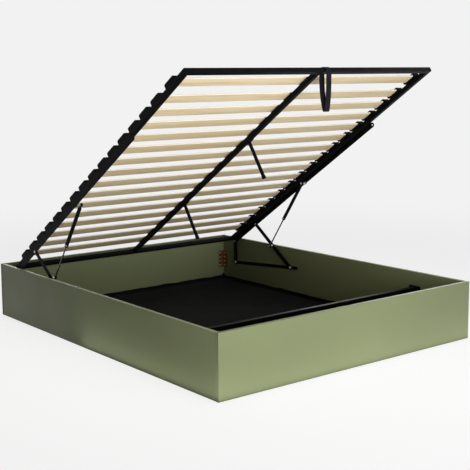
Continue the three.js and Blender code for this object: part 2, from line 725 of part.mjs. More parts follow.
// Side plate of the lift hinge on the outer face of the side rail, with the stud for the strut
function sidePlate(name) {
  const foot = footEnd + FLANGE_FROM_FOOT;
  const nose = (FLANGE_BELOW_NOSE + railBottom) / 2;
  const noseMiddle = railBottom - nose;
  const strutAt = strutPivotOnLid;
  const shape = new THREE.Shape();
  shape.moveTo(headEnd - FLANGE_BELOW, -FLANGE_BELOW);
  shape.lineTo(headEnd, headEnd - FLANGE_BELOW);
  shape.lineTo(headEnd, FLANGE_ABOVE);
  shape.lineTo(foot + 2 * nose, FLANGE_ABOVE);
  shape.lineTo(foot + nose, railBottom);
  shape.absarc(foot + nose, noseMiddle, nose, Math.PI / 2, 1.5 * Math.PI);
  shape.lineTo(strutAt.x, -FLANGE_BELOW);
  roundHole(shape, PIN_DIAMETER + 2 * PIN_CLEARANCE, armPivotOnLid.x, armPivotOnLid.y);
  roundHole(shape, FLANGE_HOLE, foot + nose, noseMiddle);
  const plate = alongX(shape, flangeInner, flangeOuter, 5);
  const lug = discX(FLANGE_LUG, flangeInner, flangeOuter, strutAt.x, strutAt.y);
  const rivet = discX(RIVET_HEAD_DIAMETER, flangeInner - RIVET_HEAD_HEIGHT, flangeInner + 1, 0, 0, 12);
  const keeper = discX(STUD_COLLAR, eyeInner - SEAT_GAP - STUD_KEEPER, eyeInner - SEAT_GAP, strutAt.x, strutAt.y, 12);
  const stud = discX(STUD_DIAMETER, eyeInner - STUD_KEEPER, flangeInner + 1, strutAt.x, strutAt.y, 12);
  const collar = discX(STUD_COLLAR, eyeOuter + SEAT_GAP, flangeInner + 1, strutAt.x, strutAt.y, 12);
  return named(name, join(plate, lug, rivet, keeper, stud, collar), blackSteel());
}

// Centre leg: a tube under a screwed plate, standing in a cup-shaped glide
function legPlace(index) {
  return footEnd + LEG_FROM_FOOT[index];
}

function centreLeg(name, index) {
  const top = railBottom - SEAT_GAP;
  const bottom = railBottom - legLength + GLIDE_FLOOR + SEAT_GAP;
  const plate = box(TUBE, LEG_PLATE_LENGTH, LEG_PLATE_THICKNESS).translate(0, 0, top - LEG_PLATE_THICKNESS / 2);
  const r = LEG_DIAMETER / 2;
  const height = top - bottom - LEG_PLATE_THICKNESS / 2;
  const tube = new THREE.CylinderGeometry(r, r, height, 16).rotateX(Math.PI / 2).translate(0, 0, bottom + height / 2);
  const bore = new THREE.CylinderGeometry(r - LEG_WALL, r - LEG_WALL, height, 16).rotateX(Math.PI / 2);
  bore.translate(0, 0, bottom + height / 2 - LEG_PLATE_THICKNESS);
  const leg = named(name, join(plate, cut(tube, bore)), blackSteel());
  leg.position.y = legPlace(index);
  return leg;
}

function legGlide(name, index) {
  const outer = GLIDE_DIAMETER / 2;
  const inner = LEG_DIAMETER / 2 + SEAT_GAP;
  const profile = [
    [0, 0],
    [outer - GLIDE_BEVEL, 0],
    [outer, GLIDE_BEVEL],
    [outer - 1, GLIDE_HEIGHT],
    [inner, GLIDE_HEIGHT],
    [inner, GLIDE_FLOOR],
    [0, GLIDE_FLOOR],
  ].map(([r, z]) => new THREE.Vector2(r, z));
  const cup = new THREE.LatheGeometry(profile, 16).rotateX(Math.PI / 2);
  const glide = named(name, cup, blackPlastic());
  glide.position.set(0, legPlace(index), railBottom - legLength);
  return glide;
}

// Pull strap: one endless band that goes over the foot rail, down both sides of it and round a fold at the bottom.
// Its two strands also lie side by side, so the band crosses over from one to the other on the rail and in the fold.
function strapPath() {
  const railCorner = (TUBE / 2 - TUBE_RADIUS) * Math.SQRT2 + TUBE_RADIUS;
  const around = railCorner + SEAT_GAP + STRAP_THICKNESS / 2;
  const fold = STRAP_THICKNESS;
  const path = [];
  const point = (side, y, z, ny, nz) => path.push({ side, y, z, ny, nz });
  const arc = (radius, z, from, to, sideFrom, sideTo) => {
    for (let i = 0; i <= STRAP_STEPS; i++) {
      const share = i / STRAP_STEPS;
      const angle = from + (to - from) * share;
      const side = sideFrom + (sideTo - sideFrom) * share;
      point(side, radius * Math.cos(angle), z + radius * Math.sin(angle), Math.cos(angle), Math.sin(angle));
    }
  };
  const straight = (sign) => {
    for (let i = 1; i < STRAP_STEPS; i++) {
      const share = sign > 0 ? 1 - i / STRAP_STEPS : i / STRAP_STEPS;
      const eased = share * share * (3 - 2 * share);
      const y = around + (fold - around) * eased;
      const side = 0.55 + 0.45 * Math.sin(Math.PI * Math.min(1, 0.25 + 0.75 * share) ** 1.5);
      point(sign * side, sign * y, -share * (STRAP_DROP - fold), sign, 0);
    }
  };
  arc(around, 0, 0, Math.PI, 0.7, -0.7);
  straight(-1);
  arc(fold, fold - STRAP_DROP, Math.PI, 2 * Math.PI, -0.5, 0.5);
  straight(1);
  return path;
}

function pullStrap() {
  const half = STRAP_WIDTH / 2;
  const t = STRAP_THICKNESS / 2;
  const rings = strapPath().map(({ side, y, z, ny, nz }) => {
    const x = STRAP_FROM_CENTRE + STRAP_SPREAD * side;
    return [
      new THREE.Vector3(x - half, y - t * ny, z - t * nz),
      new THREE.Vector3(x + half, y - t * ny, z - t * nz),
      new THREE.Vector3(x + half, y + t * ny, z + t * nz),
      new THREE.Vector3(x - half, y + t * ny, z + t * nz),
    ];
  });
  const strap = named("pull_strap", endlessLoft(rings), blackWebbing());
  const railCentre = turned(yz(footEnd + TUBE / 2, railBottom + TUBE / 2), -LID_TILT).add(rearPivotOpen);
  strap.position.set(0, railCentre.x, railCentre.y);
  return strap;
}

// Assembly
const bed = new THREE.Group();

const SIDES = [
  ["left", -1],
  ["right", 1],
];

bed.add(endPanel("foot_panel", -1), endPanel("head_panel", 1));
for (const [side, sign] of SIDES) {
  bed.add(sidePanel(`side_panel_${side}`, sign));
  bed.add(cornerBracket(`corner_bracket_foot_${side}`, sign, -1));
  bed.add(cornerBracket(`corner_bracket_head_${side}`, sign, 1));
}
bed.add(floorLiner(), crossbar());

const lid = new THREE.Group();
lid.position.set(0, rearPivotOpen.x, rearPivotOpen.y);
lid.rotation.x = -radians(LID_TILT);
lid.add(crossRail("foot_rail", footEnd + TUBE / 2, -1));
lid.add(crossRail("head_rail", headEnd - TUBE / 2, 1));
lid.add(centreRail());
slatPlaces().forEach((y, i) => lid.add(slat(`slat_${String(i + 1).padStart(2, "0")}`, y)));
LEG_FROM_FOOT.forEach((_, i) => {
  lid.add(centreLeg(`centre_leg_${i + 1}`, i));
  lid.add(legGlide(`leg_glide_${i + 1}`, i));
});

for (const [side, sign] of SIDES) {
  const hinge = new THREE.Group();
  hinge.scale.x = sign;
  hinge.add(crossbarBracket(`crossbar_bracket_${side}`));
  hinge.add(hingeBase(`hinge_base_${side}`));
  hinge.add(rearPin(`rear_pivot_pin_${side}`));
  hinge.add(armPin(`arm_pivot_pin_${side}`));
  hinge.add(rearLink(`rear_link_${side}`));
  hinge.add(liftArm(`lift_arm_${side}`));
  hinge.add(strutCylinder(`strut_cylinder_${side}`));
  hinge.add(strutRod(`strut_rod_${side}`));
  bed.add(hinge);
  const half = new THREE.Group();
  half.scale.x = sign;
  half.add(sideRail(`side_rail_${side}`));
  half.add(sidePlate(`hinge_plate_${side}`));
  half.add(lidPin(`lid_pivot_pin_${side}`));
  lid.add(half);
}
bed.add(lid, pullStrap());

export default bed;
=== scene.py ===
import math

import bpy
from mathutils import Matrix, Vector, noise
from mathutils.geometry import tessellate_polygon

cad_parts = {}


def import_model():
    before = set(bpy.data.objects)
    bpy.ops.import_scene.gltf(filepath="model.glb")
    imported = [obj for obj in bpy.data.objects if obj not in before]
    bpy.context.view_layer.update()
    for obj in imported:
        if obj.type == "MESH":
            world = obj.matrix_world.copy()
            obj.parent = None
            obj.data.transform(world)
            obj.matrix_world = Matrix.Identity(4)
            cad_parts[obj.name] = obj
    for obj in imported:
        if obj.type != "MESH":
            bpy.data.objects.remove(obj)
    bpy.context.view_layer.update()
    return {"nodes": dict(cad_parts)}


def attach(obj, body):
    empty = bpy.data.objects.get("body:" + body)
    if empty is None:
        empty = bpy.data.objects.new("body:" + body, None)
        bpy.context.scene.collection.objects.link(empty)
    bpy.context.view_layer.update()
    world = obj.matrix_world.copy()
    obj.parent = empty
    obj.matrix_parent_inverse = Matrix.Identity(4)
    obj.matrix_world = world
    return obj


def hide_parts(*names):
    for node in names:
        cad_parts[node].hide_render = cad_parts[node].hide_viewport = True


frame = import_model()
nodes = frame["nodes"]

# Driving dimensions in millimetres and degrees, as in the part's source. The clearances come first.
SEAT_GAP = 0.3  # between pieces that are screwed or glued together
PLATE_GAP = 0.5  # between plates that swing past each other
PIN_CLEARANCE = 0.3
LID_END_GAP = 11  # lid frame to the foot and head panels when it is closed
REST_GAP = 2  # legs over the liner when the lid is closed

# Box, corner brackets and floor liner
BOX_WIDTH, BOX_LENGTH, BOX_HEIGHT, PANEL_THICKNESS = 1640, 2040, 300, 20
BRACKET_HEIGHT, BRACKET_WING, BRACKET_THICKNESS, BRACKET_BOTTOM = 110, 42, 2, 85
BRACKET_COLUMNS, BRACKET_ROWS = 2, 4
LINER_THICKNESS, LINER_UPSTAND = 1.5, 28

# Lid frame of square tube, slats and their holders, centre legs
TUBE, TUBE_RADIUS = 25, 3
RAIL_BOTTOM = 9  # underside of the frame over the line of the hinge pivots
LID_TILT = 33.6
SLAT_COUNT, SLAT_WIDTH, SLAT_THICKNESS = 16, 63, 8
SLAT_FIRST = 124  # middle of the first slat from the foot end of the frame
SLAT_FIRST_PITCH = 134  # from the first slat to the second
SLAT_LAST = 141  # middle of the last slat from the head end of the frame
HOLDER_LENGTH, HOLDER_HEIGHT, HOLDER_SHOULDER = 80, 20, 14
HOLDER_FLOOR, HOLDER_END_WALL, HOLDER_LIP = 4, 4, 2.5
HOLDER_OVERHANG = 9  # past the inner face of the rail
HOLDER_EAR, HOLDER_EAR_HEIGHT = 6, 9
POCKET_CLEARANCE = 0.4
LEG_FROM_FOOT = (639, 1329)
LEG_PLATE_LENGTH, LEG_PLATE_THICKNESS = 60, 2.5

# Lift hinges: a four-bar linkage on each side, in the Y-Z plane
REAR_PIVOT_BELOW_TOP = 166  # lower pivot of the rear link under the top of the box
REAR_LINK, REAR_OPEN, REAR_CLOSED = 143, 88.4, 33.06
BASE_RISE = 4.5  # slope of the base bar towards the foot
LID_PIVOT_INSET = 8  # lid pivot of the rear link from the head end of the frame
ARM_ON_LID = Vector((-258, -5))
STRUT_ON_LID = Vector((-811, -11))
STRUT_ON_ARM = 203
LINK_WIDTH, LINK_THICKNESS, ARM_WIDTH = 28, 4, 24
BASE_WIDTH, BASE_THICKNESS, BASE_PAST_FRONT, BASE_PAST_REAR = 20, 3, 52, 14
BASE_SCREW_RADIUS = 4
FLANGE_THICKNESS = 3
FLANGE_BELOW, FLANGE_BELOW_NOSE, FLANGE_ABOVE, FLANGE_FROM_FOOT = 14.5, 18, 30, 494
FLANGE_HOLE_RADIUS, FLANGE_LUG_RADIUS = 4.5, 8.5
PIN_RADIUS, PIN_HEAD_RADIUS, PIN_HEAD_HEIGHT = 5, 9, 3.5
SPACER_RADIUS, RIVET_RADIUS, RIVET_HEIGHT = 8, 7, 1.8

# Gas struts
CYLINDER_RADIUS, CYLINDER_LENGTH = 10, 291
ROD_RADIUS, ROD_INSIDE = 4, 30
EYE_RADIUS, EYE_WIDTH = 9, 12
STRUT_INBOARD = 27.5  # strut centre line from the side plate
STUD_RADIUS, STUD_COLLAR_RADIUS, STUD_FOOT_RADIUS, STUD_KEEPER = 4, 6.5, 9, 2

# Places across the bed, worked out from the values above: layers from the panel's inner face inwards
INNER_X = BOX_WIDTH / 2 - PANEL_THICKNESS
INNER_Y = BOX_LENGTH / 2 - PANEL_THICKNESS
BASE_OUTER = INNER_X - SEAT_GAP
BASE_INNER = BASE_OUTER - BASE_THICKNESS
LINK_OUTER = BASE_INNER - PLATE_GAP
LINK_INNER = LINK_OUTER - LINK_THICKNESS
FLANGE_OUTER = LINK_INNER - PLATE_GAP
FLANGE_INNER = FLANGE_OUTER - FLANGE_THICKNESS
ARM_OUTER = FLANGE_INNER - PLATE_GAP
ARM_INNER = ARM_OUTER - LINK_THICKNESS
RAIL_OUTER = FLANGE_INNER - SEAT_GAP
RAIL_INNER = RAIL_OUTER - TUBE
HOLDER_INNER = RAIL_INNER - HOLDER_OVERHANG
SLAT_HALF_LENGTH = RAIL_OUTER - HOLDER_END_WALL - 2 * SEAT_GAP
STRUT_X = FLANGE_INNER - STRUT_INBOARD
EYE_OUTER = STRUT_X + EYE_WIDTH / 2
EYE_INNER = STRUT_X - EYE_WIDTH / 2

# Places along and over the lid
HEAD_END = LID_PIVOT_INSET
FOOT_END = HEAD_END - 2 * (INNER_Y - LID_END_GAP)
LID_MIDDLE = (HEAD_END + FOOT_END) / 2
RAIL_TOP = RAIL_BOTTOM + TUBE
RAIL_MIDDLE = (RAIL_BOTTOM + RAIL_TOP) / 2
SLAT_SEAT = RAIL_TOP + HOLDER_FLOOR + POCKET_CLEARANCE
SLAT_SECOND = FOOT_END + SLAT_FIRST + SLAT_FIRST_PITCH
SLAT_PITCH = (HEAD_END - SLAT_LAST - SLAT_SECOND) / (SLAT_COUNT - 2)
SLAT_PLACES = [FOOT_END + SLAT_FIRST] + [SLAT_SECOND + i * SLAT_PITCH for i in range(SLAT_COUNT - 1)]

MM = Matrix.Scale(0.001, 4)
SIDES = (("left", -1), ("right", 1))


def polar(length, degrees):
    return Vector((length * math.cos(math.radians(degrees)), length * math.sin(math.radians(degrees))))


def turned(point, degrees):
    return Matrix.Rotation(math.radians(degrees), 2) @ point


def length_and_angle(way):
    return way.length, math.degrees(math.atan2(way.y, way.x))


def at(y, z, degrees=0.0):
    """Frame, in millimetres, of a piece drawn in the Y-Z plane and turned about X."""
    return MM @ Matrix.Translation((0, y, z)) @ Matrix.Rotation(math.radians(degrees), 4, "X")


# Linkage: pivots on the box, then pivots on the lid with the lid closed and open
REAR_PIVOT = Vector(
    (
        INNER_Y - LID_END_GAP - LID_PIVOT_INSET - polar(REAR_LINK, REAR_CLOSED).x,
        BOX_HEIGHT - REAR_PIVOT_BELOW_TOP,
    )
)
LID_PIVOT_CLOSED = REAR_PIVOT + polar(REAR_LINK, REAR_CLOSED)
LID_PIVOT = REAR_PIVOT + polar(REAR_LINK, REAR_OPEN)
ARM_TOP_CLOSED = LID_PIVOT_CLOSED + ARM_ON_LID
ARM_TOP = LID_PIVOT + turned(ARM_ON_LID, -LID_TILT)
STRUT_TOP = LID_PIVOT + turned(STRUT_ON_LID, -LID_TILT)
# The arm's pivot on the box is the point of the base bar that lies as far from both places of its lid pivot.
BASE_DIRECTION = polar(1, 180 - BASE_RISE)
ARM_CHORD = ARM_TOP_CLOSED - ARM_TOP
BASE_SPAN = ((ARM_TOP_CLOSED + ARM_TOP) / 2 - REAR_PIVOT).dot(ARM_CHORD) / BASE_DIRECTION.dot(ARM_CHORD)
ARM_PIVOT = REAR_PIVOT + BASE_DIRECTION * BASE_SPAN
ARM_LENGTH, ARM_OPEN = length_and_angle(ARM_TOP - ARM_PIVOT)
STRUT_LENGTH, STRUT_OPEN = length_and_angle(ARM_PIVOT + polar(STRUT_ON_ARM, ARM_OPEN) - STRUT_TOP)
LEG_LENGTH = LID_PIVOT_CLOSED.y + RAIL_BOTTOM - LINER_THICKNESS - REST_GAP
LID = at(*LID_PIVOT, -LID_TILT)


def add_node(tree, kind, **settings):
    made = tree.nodes.new("ShaderNode" + kind)
    for key, value in settings.items():
        setattr(made, key, value)
    return made


def map_range(tree, value, low, high, to_low, to_high, **settings):
    made = add_node(tree, "MapRange", **settings)
    limits = (("From Min", low), ("From Max", high), ("To Min", to_low), ("To Max", to_high))
    for socket, number in limits:
        made.inputs[socket].default_value = number
    tree.links.new(value, made.inputs["Value"])
    return made.outputs["Result"]


def new_object(name, data):
    made = bpy.data.objects.new(name, data)
    bpy.context.scene.collection.objects.link(made)
    return made


# Materials
class Surface:
    """A material, with short calls for the nodes that it uses."""

    def __init__(self, name, color, roughness, metallic=0.0, **sockets):
        self.material = bpy.data.materials.new(name)
        self.material.use_nodes = True
        self.material.diffuse_color = (*color, 1)
        self.tree = self.material.node_tree
        self.shader = self.tree.nodes["Principled BSDF"]
        self.color = color
        self.set("Base Color", (*color, 1))
        self.set("Roughness", roughness)
        self.set("Metallic", metallic)
        for socket, value in sockets.items():
            self.set(socket.replace("_", " "), value)
        self.place = self.node("TexCoord").outputs["Object"]

    def node(self, kind, **settings):
        return add_node(self.tree, kind, **settings)

    def set(self, socket, value):
        self.shader.inputs[socket].default_value = value

    def link(self, output, target):
        self.tree.links.new(output, target)

    def feed(self, value, target):
        """Links a node's output to an input, or sets the input to a number or a colour."""
        if isinstance(value, bpy.types.NodeSocket):
            self.link(value, target)
        else:
            target.default_value = (*value, 1) if isinstance(value, tuple) else value

    def mapped(self, scale, source=None):
        made = self.node("Mapping")
        made.inputs["Scale"].default_value = scale
        self.link(source or self.place, made.inputs["Vector"])
        return made.outputs["Vector"]

    def noise(self, scale, detail=2.0, roughness=0.5, vector=None):
        made = self.node("TexNoise")
        made.inputs["Scale"].default_value = scale
        made.inputs["Detail"].default_value = detail
        made.inputs["Roughness"].default_value = roughness
        self.link(vector or self.place, made.inputs["Vector"])
        return made.outputs["Fac"]

    def wave(self, scale, axis, vector, distortion=0.0):
        made = self.node("TexWave", wave_type="BANDS", bands_direction=axis)
        made.inputs["Scale"].default_value = scale
        made.inputs["Distortion"].default_value = distortion
        self.link(vector, made.inputs["Vector"])
        return made.outputs["Fac"]

    def remap(self, value, low, high, to_low, to_high):
        return map_range(self.tree, value, low, high, to_low, to_high)

    def ramp(self, value, *stops):
        made = self.node("ValToRGB")
        elements = made.color_ramp.elements
        while len(elements) < len(stops):
            elements.new(0.5)
        for element, (position, color) in zip(elements, stops):
            element.position = position
            element.color = (*color, 1)
        self.link(value, made.inputs["Fac"])
        return made.outputs["Color"]

    def blend(self, share, first, second):
        made = self.node("Mix", data_type="RGBA")
        factor, color_a, color_b = made.inputs[0], made.inputs[6], made.inputs[7]
        self.feed(share, factor)
        self.feed(first, color_a)
        self.feed(second, color_b)
        return made.outputs[2]

    def math(self, operation, first, second=0.0):
        made = self.node("Math", operation=operation)
        self.feed(first, made.inputs[0])
        self.feed(second, made.inputs[1])
        return made.outputs[0]

    def paint(self, color):
        self.link(color, self.shader.inputs["Base Color"])

    def rough(self, value):
        self.link(value, self.shader.inputs["Roughness"])

    def bump(self, *layers):
        """Each layer is a height, a strength and a depth in metres."""
        normal = None
        for height, strength, distance in layers:
            made = self.node("Bump")
            made.inputs["Strength"].default_value = strength
            made.inputs["Distance"].default_value = distance
            self.link(height, made.inputs["Height"])
            if normal:
                self.link(normal, made.inputs["Normal"])
            normal = made.outputs["Normal"]
        self.link(normal, self.shader.inputs["Normal"])

    def attribute(self, name):
        made = self.node("Attribute", attribute_name=name, attribute_type="GEOMETRY")
        return made.outputs["Vector"]


def tint(color, factor):
    return tuple(min(1.0, c * factor) for c in color)


def lacquer():
    s = Surface("sage_lacquer", (0.262, 0.294, 0.156), 0.42, Specular_IOR_Level=0.12)
    clouds = s.noise(1.7, 3.0)
    s.paint(s.ramp(clouds, (0.3, tint(s.color, 0.95)), (0.7, tint(s.color, 1.04))))
    s.rough(s.remap(s.noise(6.0, 3.0), 0.3, 0.7, 0.38, 0.47))
    s.bump((s.noise(260.0, 2.0), 0.05, 0.0006), (s.noise(9.0, 1.0), 0.04, 0.004))
    return s.material


def powder_coat(name, color, roughness):
    s = Surface(name, color, roughness, Specular_IOR_Level=0.025)
    s.paint(s.ramp(s.noise(14.0, 4.0), (0.35, tint(color, 0.85)), (0.7, tint(color, 1.25))))
    s.rough(s.remap(s.noise(35.0, 3.0), 0.3, 0.7, roughness - 0.05, roughness + 0.07))
    s.bump((s.noise(1500.0, 2.0), 0.12, 0.0003), (s.noise(90.0, 2.0), 0.05, 0.0008))
    return s.material


def plated(name, color, roughness, metallic):
    s = Surface(name, color, roughness, metallic)
    s.paint(s.ramp(s.noise(60.0, 4.0, 0.6), (0.3, tint(color, 0.72)), (0.7, tint(color, 1.12))))
    brushed = s.noise(700.0, 2.0, vector=s.mapped((1, 0.15, 1)))
    s.rough(s.remap(brushed, 0.3, 0.7, roughness - 0.06, roughness + 0.12))
    s.bump((brushed, 0.06, 0.0002))
    return s.material


def birch():
    """Each slat has its own piece of the grain. Its edges show the plies in a pale colour that is partly the
    plies' own and partly a painted highlight of the lit edges, carried over their rounding.
    """
    ply, edge_start, edge_full = 1.6, SLAT_WIDTH / 2 - 3.1, SLAT_WIDTH / 2 - 1.1
    pale, middle, light = (0.62, 0.48, 0.285), (0.76, 0.62, 0.4), (0.84, 0.71, 0.49)
    fibre_brown, fleck_brown, toned = (0.56, 0.41, 0.23), (0.36, 0.22, 0.11), (0.66, 0.49, 0.27)
    # Ply colours, paler than the plies themselves, as a painted highlight of the lit slat edges
    ply_pale_and_highlight, ply_dark = (0.94, 0.88, 0.73), (0.78, 0.67, 0.49)
    s = Surface("birch_veneer", (0.72, 0.57, 0.34), 0.5, Specular_IOR_Level=0.25)
    random = s.node("ObjectInfo").outputs["Random"]
    offset = s.node("CombineXYZ")
    s.link(s.math("MULTIPLY", random, 9.0), offset.inputs["X"])
    s.link(s.math("MULTIPLY", random, 5.0), offset.inputs["Z"])
    shifted = s.node("VectorMath", operation="ADD")
    s.link(s.place, shifted.inputs[0])
    s.link(offset.outputs[0], shifted.inputs[1])
    own_place = shifted.outputs[0]
    figure = s.noise(2.4, 4.0, 0.55, s.mapped((0.9, 14, 14), own_place))
    fibres = s.noise(30.0, 3.0, 0.6, s.mapped((0.6, 16, 16), own_place))
    flecks = s.noise(55.0, 2.0, 0.5, s.mapped((1.0, 9, 9), own_place))
    wood = s.ramp(figure, (0.25, pale), (0.48, middle), (0.75, light))
    wood = s.blend(s.remap(fibres, 0.35, 0.65, 0.0, 0.22), wood, fibre_brown)
    wood = s.blend(s.remap(flecks, 0.66, 0.76, 0.0, 0.35), wood, fleck_brown)
    wood = s.blend(s.remap(random, 0.0, 1.0, 0.0, 0.25), wood, toned)
    section = s.node("SeparateXYZ")
    s.link(s.attribute("section"), section.inputs[0])
    lines = s.math("SINE", s.math("MULTIPLY", section.outputs["Z"], 2 * math.pi / ply))
    plies = s.ramp(lines, (0.5, ply_pale_and_highlight), (0.97, ply_dark))
    # Painted highlight: the pale ply colour covers both edges and their rounding, partly the plies' own
    # colour and partly painted light
    edge = s.remap(s.math("ABSOLUTE", section.outputs["Y"]), edge_start, edge_full, 0.0, 1.0)
    s.paint(s.blend(edge, wood, plies))
    s.rough(s.remap(fibres, 0.3, 0.7, 0.42, 0.58))
    s.bump((fibres, 0.12, 0.0005), (figure, 0.05, 0.001))
    return s.material


def felt():
    s = Surface("black_felt", (0.0105, 0.0105, 0.011), 0.95, Specular_IOR_Level=0.05)
    fibre = s.noise(420.0, 4.0, 0.7)
    s.paint(s.ramp(s.noise(3.0, 4.0), (0.3, (0.008, 0.008, 0.0085)), (0.75, (0.014, 0.014, 0.0145))))
    dots = s.node("TexVoronoi", feature="F1")
    dots.inputs["Scale"].default_value = 330.0
    dots.inputs["Randomness"].default_value = 0.25
    s.link(s.place, dots.inputs["Vector"])
    s.bump((fibre, 0.3, 0.0008), (dots.outputs["Distance"], 0.35, 0.0006), (s.noise(7.0, 3.0), 0.25, 0.008))
    return s.material


def webbing():
    s = Surface("black_webbing", (0.016, 0.016, 0.017), 0.8, Specular_IOR_Level=0.1)
    cloth = s.attribute("cloth")
    ribs = s.wave(250.0, "X", cloth)
    picks = s.wave(160.0, "Y", cloth, 0.4)
    weave = s.math("MULTIPLY", ribs, picks)
    s.paint(s.ramp(weave, (0.0, (0.008, 0.008, 0.009)), (1.0, (0.03, 0.03, 0.032))))
    s.bump((weave, 0.7, 0.0007), (s.noise(900.0, 2.0), 0.3, 0.0003))
    return s.material


def plastic():
    s = Surface("black_plastic", (0.006, 0.006, 0.0065), 0.45, Specular_IOR_Level=0.025)
    s.paint(s.ramp(s.noise(25.0, 3.0), (0.35, tint(s.color, 0.85)), (0.7, tint(s.color, 1.2))))
    s.rough(s.remap(s.noise(60.0, 2.0), 0.3, 0.7, 0.4, 0.54))
    s.bump((s.noise(1100.0, 2.0), 0.1, 0.0003))
    return s.material


LACQUER = lacquer()
STEEL = powder_coat("black_steel", (0.006, 0.006, 0.0065), 0.42)
STRUT_PAINT = powder_coat("strut_enamel", (0.0095, 0.0095, 0.0105), 0.26)
ZINC = plated("zinc_steel", (0.56, 0.56, 0.55), 0.32, 1.0)
CHROME = plated("rod_steel", (0.09, 0.09, 0.095), 0.22, 1.0)
BRONZE = plated("bronze_steel", (0.21, 0.1, 0.042), 0.45, 0.4)
BRASS = plated("screw_brass", (0.95, 0.6, 0.32), 0.35, 0.5)
BIRCH, FELT, WEBBING, PLASTIC = birch(), felt(), webbing(), plastic()


# Mesh helpers
class Shell:
    """Points in millimetres and the faces between them. Several closed shells can share one."""

    def __init__(self):
        self.points, self.faces, self.values = [], [], {}

    def ring(self, points):
        start = len(self.points)
        self.points += [Vector(p) for p in points]
        return list(range(start, len(self.points)))

    def skin(self, rings, closed=False):
        pairs = list(zip(rings, rings[1:])) + ([(rings[-1], rings[0])] if closed else [])
        for near, far in pairs:
            for i in range(len(near)):
                j = (i + 1) % len(near)
                self.faces.append((near[i], near[j], far[j], far[i]))
        return self

    def cap(self, outer, *holes, flip=False):
        """Closes a flat loop, with holes in it if any are given."""
        if not holes:
            self.faces.append(tuple(outer[::-1] if flip else outer))
            return self
        loops = [outer, *holes]
        flat = [index for loop in loops for index in loop]
        triangles = tessellate_polygon([[self.points[i] for i in loop] for loop in loops])
        wanted = self.facing(outer) * (-1 if flip else 1)
        for a, b, c in triangles:
            face = (flat[a], flat[b], flat[c])
            self.faces.append(face if self.facing(face).dot(wanted) > 0 else face[::-1])
        return self

    def facing(self, loop):
        points = [self.points[i] for i in loop]
        total = Vector()
        for p, q in zip(points, points[1:] + points[:1]):
            total += p.cross(q)
        return total

    def loft(self, rings):
        """A skin over the rings, closed at both ends."""
        return self.skin(rings).cap(rings[0], flip=True).cap(rings[-1])

    def prism(self, outline, start, end, holes=()):
        """An outline in Y and Z, anticlockwise, carried along X. Holes are outlines too."""
        near = self.ring((start, y, z) for y, z in outline)
        far = self.ring((end, y, z) for y, z in outline)
        near_holes = [self.ring((start, y, z) for y, z in hole) for hole in holes]
        far_holes = [self.ring((end, y, z) for y, z in hole) for hole in holes]
        self.skin([near, far])
        for a, b in zip(near_holes, far_holes):
            self.skin([b, a])
        self.cap(near, *near_holes, flip=True)
        self.cap(far, *far_holes)
        return self

    def lathe(self, profile, centre=(0, 0, 0), axis="X", steps=32, flip=False):
        """A profile of radius and height, closed on the axis at both ends, turned round it."""
        rings = []
        for radius, height in profile:
            turn = []
            for i in range(steps):
                angle = 2 * math.pi * i / steps
                p, q = radius * math.cos(angle), radius * math.sin(angle)
                local = {"X": (height, p, q), "Y": (q, height, p), "Z": (p, q, height)}[axis]
                turn.append(Vector(centre) + Vector(local))
            rings.append(self.ring(turn))
        first = len(self.faces)
        self.loft(rings)
        if flip:
            self.faces[first:] = [face[::-1] for face in self.faces[first:]]
        return self


def circle(radius, y=0.0, z=0.0, steps=32):
    return [
        (y + radius * math.cos(2 * math.pi * i / steps), z + radius * math.sin(2 * math.pi * i / steps))
        for i in range(steps)
    ]


def arc(y, z, radius, start, end, steps=10):
    turns = [math.radians(start + (end - start) * i / steps) for i in range(steps + 1)]
    return [(y + radius * math.cos(t), z + radius * math.sin(t)) for t in turns]


def rounded(width, height, radius, steps=5):
    x, y = width / 2 - radius, height / 2 - radius
    corners = ((x, -y, -90), (x, y, 0), (-x, y, 90), (-x, -y, 180))
    return [p for cx, cy, start in corners for p in arc(cx, cy, radius, start, start + 90, steps)]


def bar(length, width, before, after):
    """A flat bar with round ends, which stand out before the first pivot and after the second."""
    r = width / 2
    return arc(length + after - r, 0, r, -90, 90, 16) + arc(r - before, 0, r, 90, 270, 16)


def piece(name, shell, material, body, place, replaces=None, bevel=0.0, side=1, angle=35):
    """Makes the object: placed, mirrored for the left side if asked, softened at its edges, and riding."""
    points = [Vector((p.x * side, p.y, p.z)) for p in shell.points]
    faces = [face[::-1] if side < 0 else face for face in shell.faces]
    mesh = bpy.data.meshes.new(name)
    mesh.from_pydata([place @ p for p in points], [], faces)
    for key, vectors in shell.values.items():
        values = mesh.attributes.new(key, "FLOAT_VECTOR", "POINT")
        values.data.foreach_set("vector", [c for v in vectors for c in v])
    mesh.validate()
    made = new_object(name, mesh)
    mesh.materials.append(material)
    mesh.shade_smooth()
    mesh.set_sharp_from_angle(angle=math.radians(angle))
    if bevel:
        soften(made, bevel)
    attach(made, body)
    if replaces:
        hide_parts(replaces)
    return made


def soften(made, width):
    edge = made.modifiers.new("edges", "BEVEL")
    edge.width = width * 0.001
    edge.segments = 2
    edge.limit_method = "ANGLE"
    edge.angle_limit = math.radians(50)
    edge.harden_normals = True


def dress(node, material, bevel):
    """A CAD node keeps its shape, and gets its material and softened edges."""
    made = nodes[node]
    made.data.materials.clear()
    made.data.materials.append(material)
    weld = made.modifiers.new("weld", "WELD")
    weld.merge_threshold = 1e-5
    flat = made.modifiers.new("flat", "DECIMATE")
    flat.decimate_type = "DISSOLVE"
    flat.angle_limit = math.radians(0.5)
    made.data.shade_smooth()
    soften(made, bevel)


# Pieces that keep their CAD shape
for panel in ("foot_panel", "head_panel", "side_panel_left", "side_panel_right"):
    dress(panel, LACQUER, 0.8)
for node in ("crossbar", "crossbar_bracket_left", "crossbar_bracket_right"):
    dress(node, STEEL, 0.5)
for node in ("foot_rail", "head_rail"):
    dress(node, STEEL, 0.4)


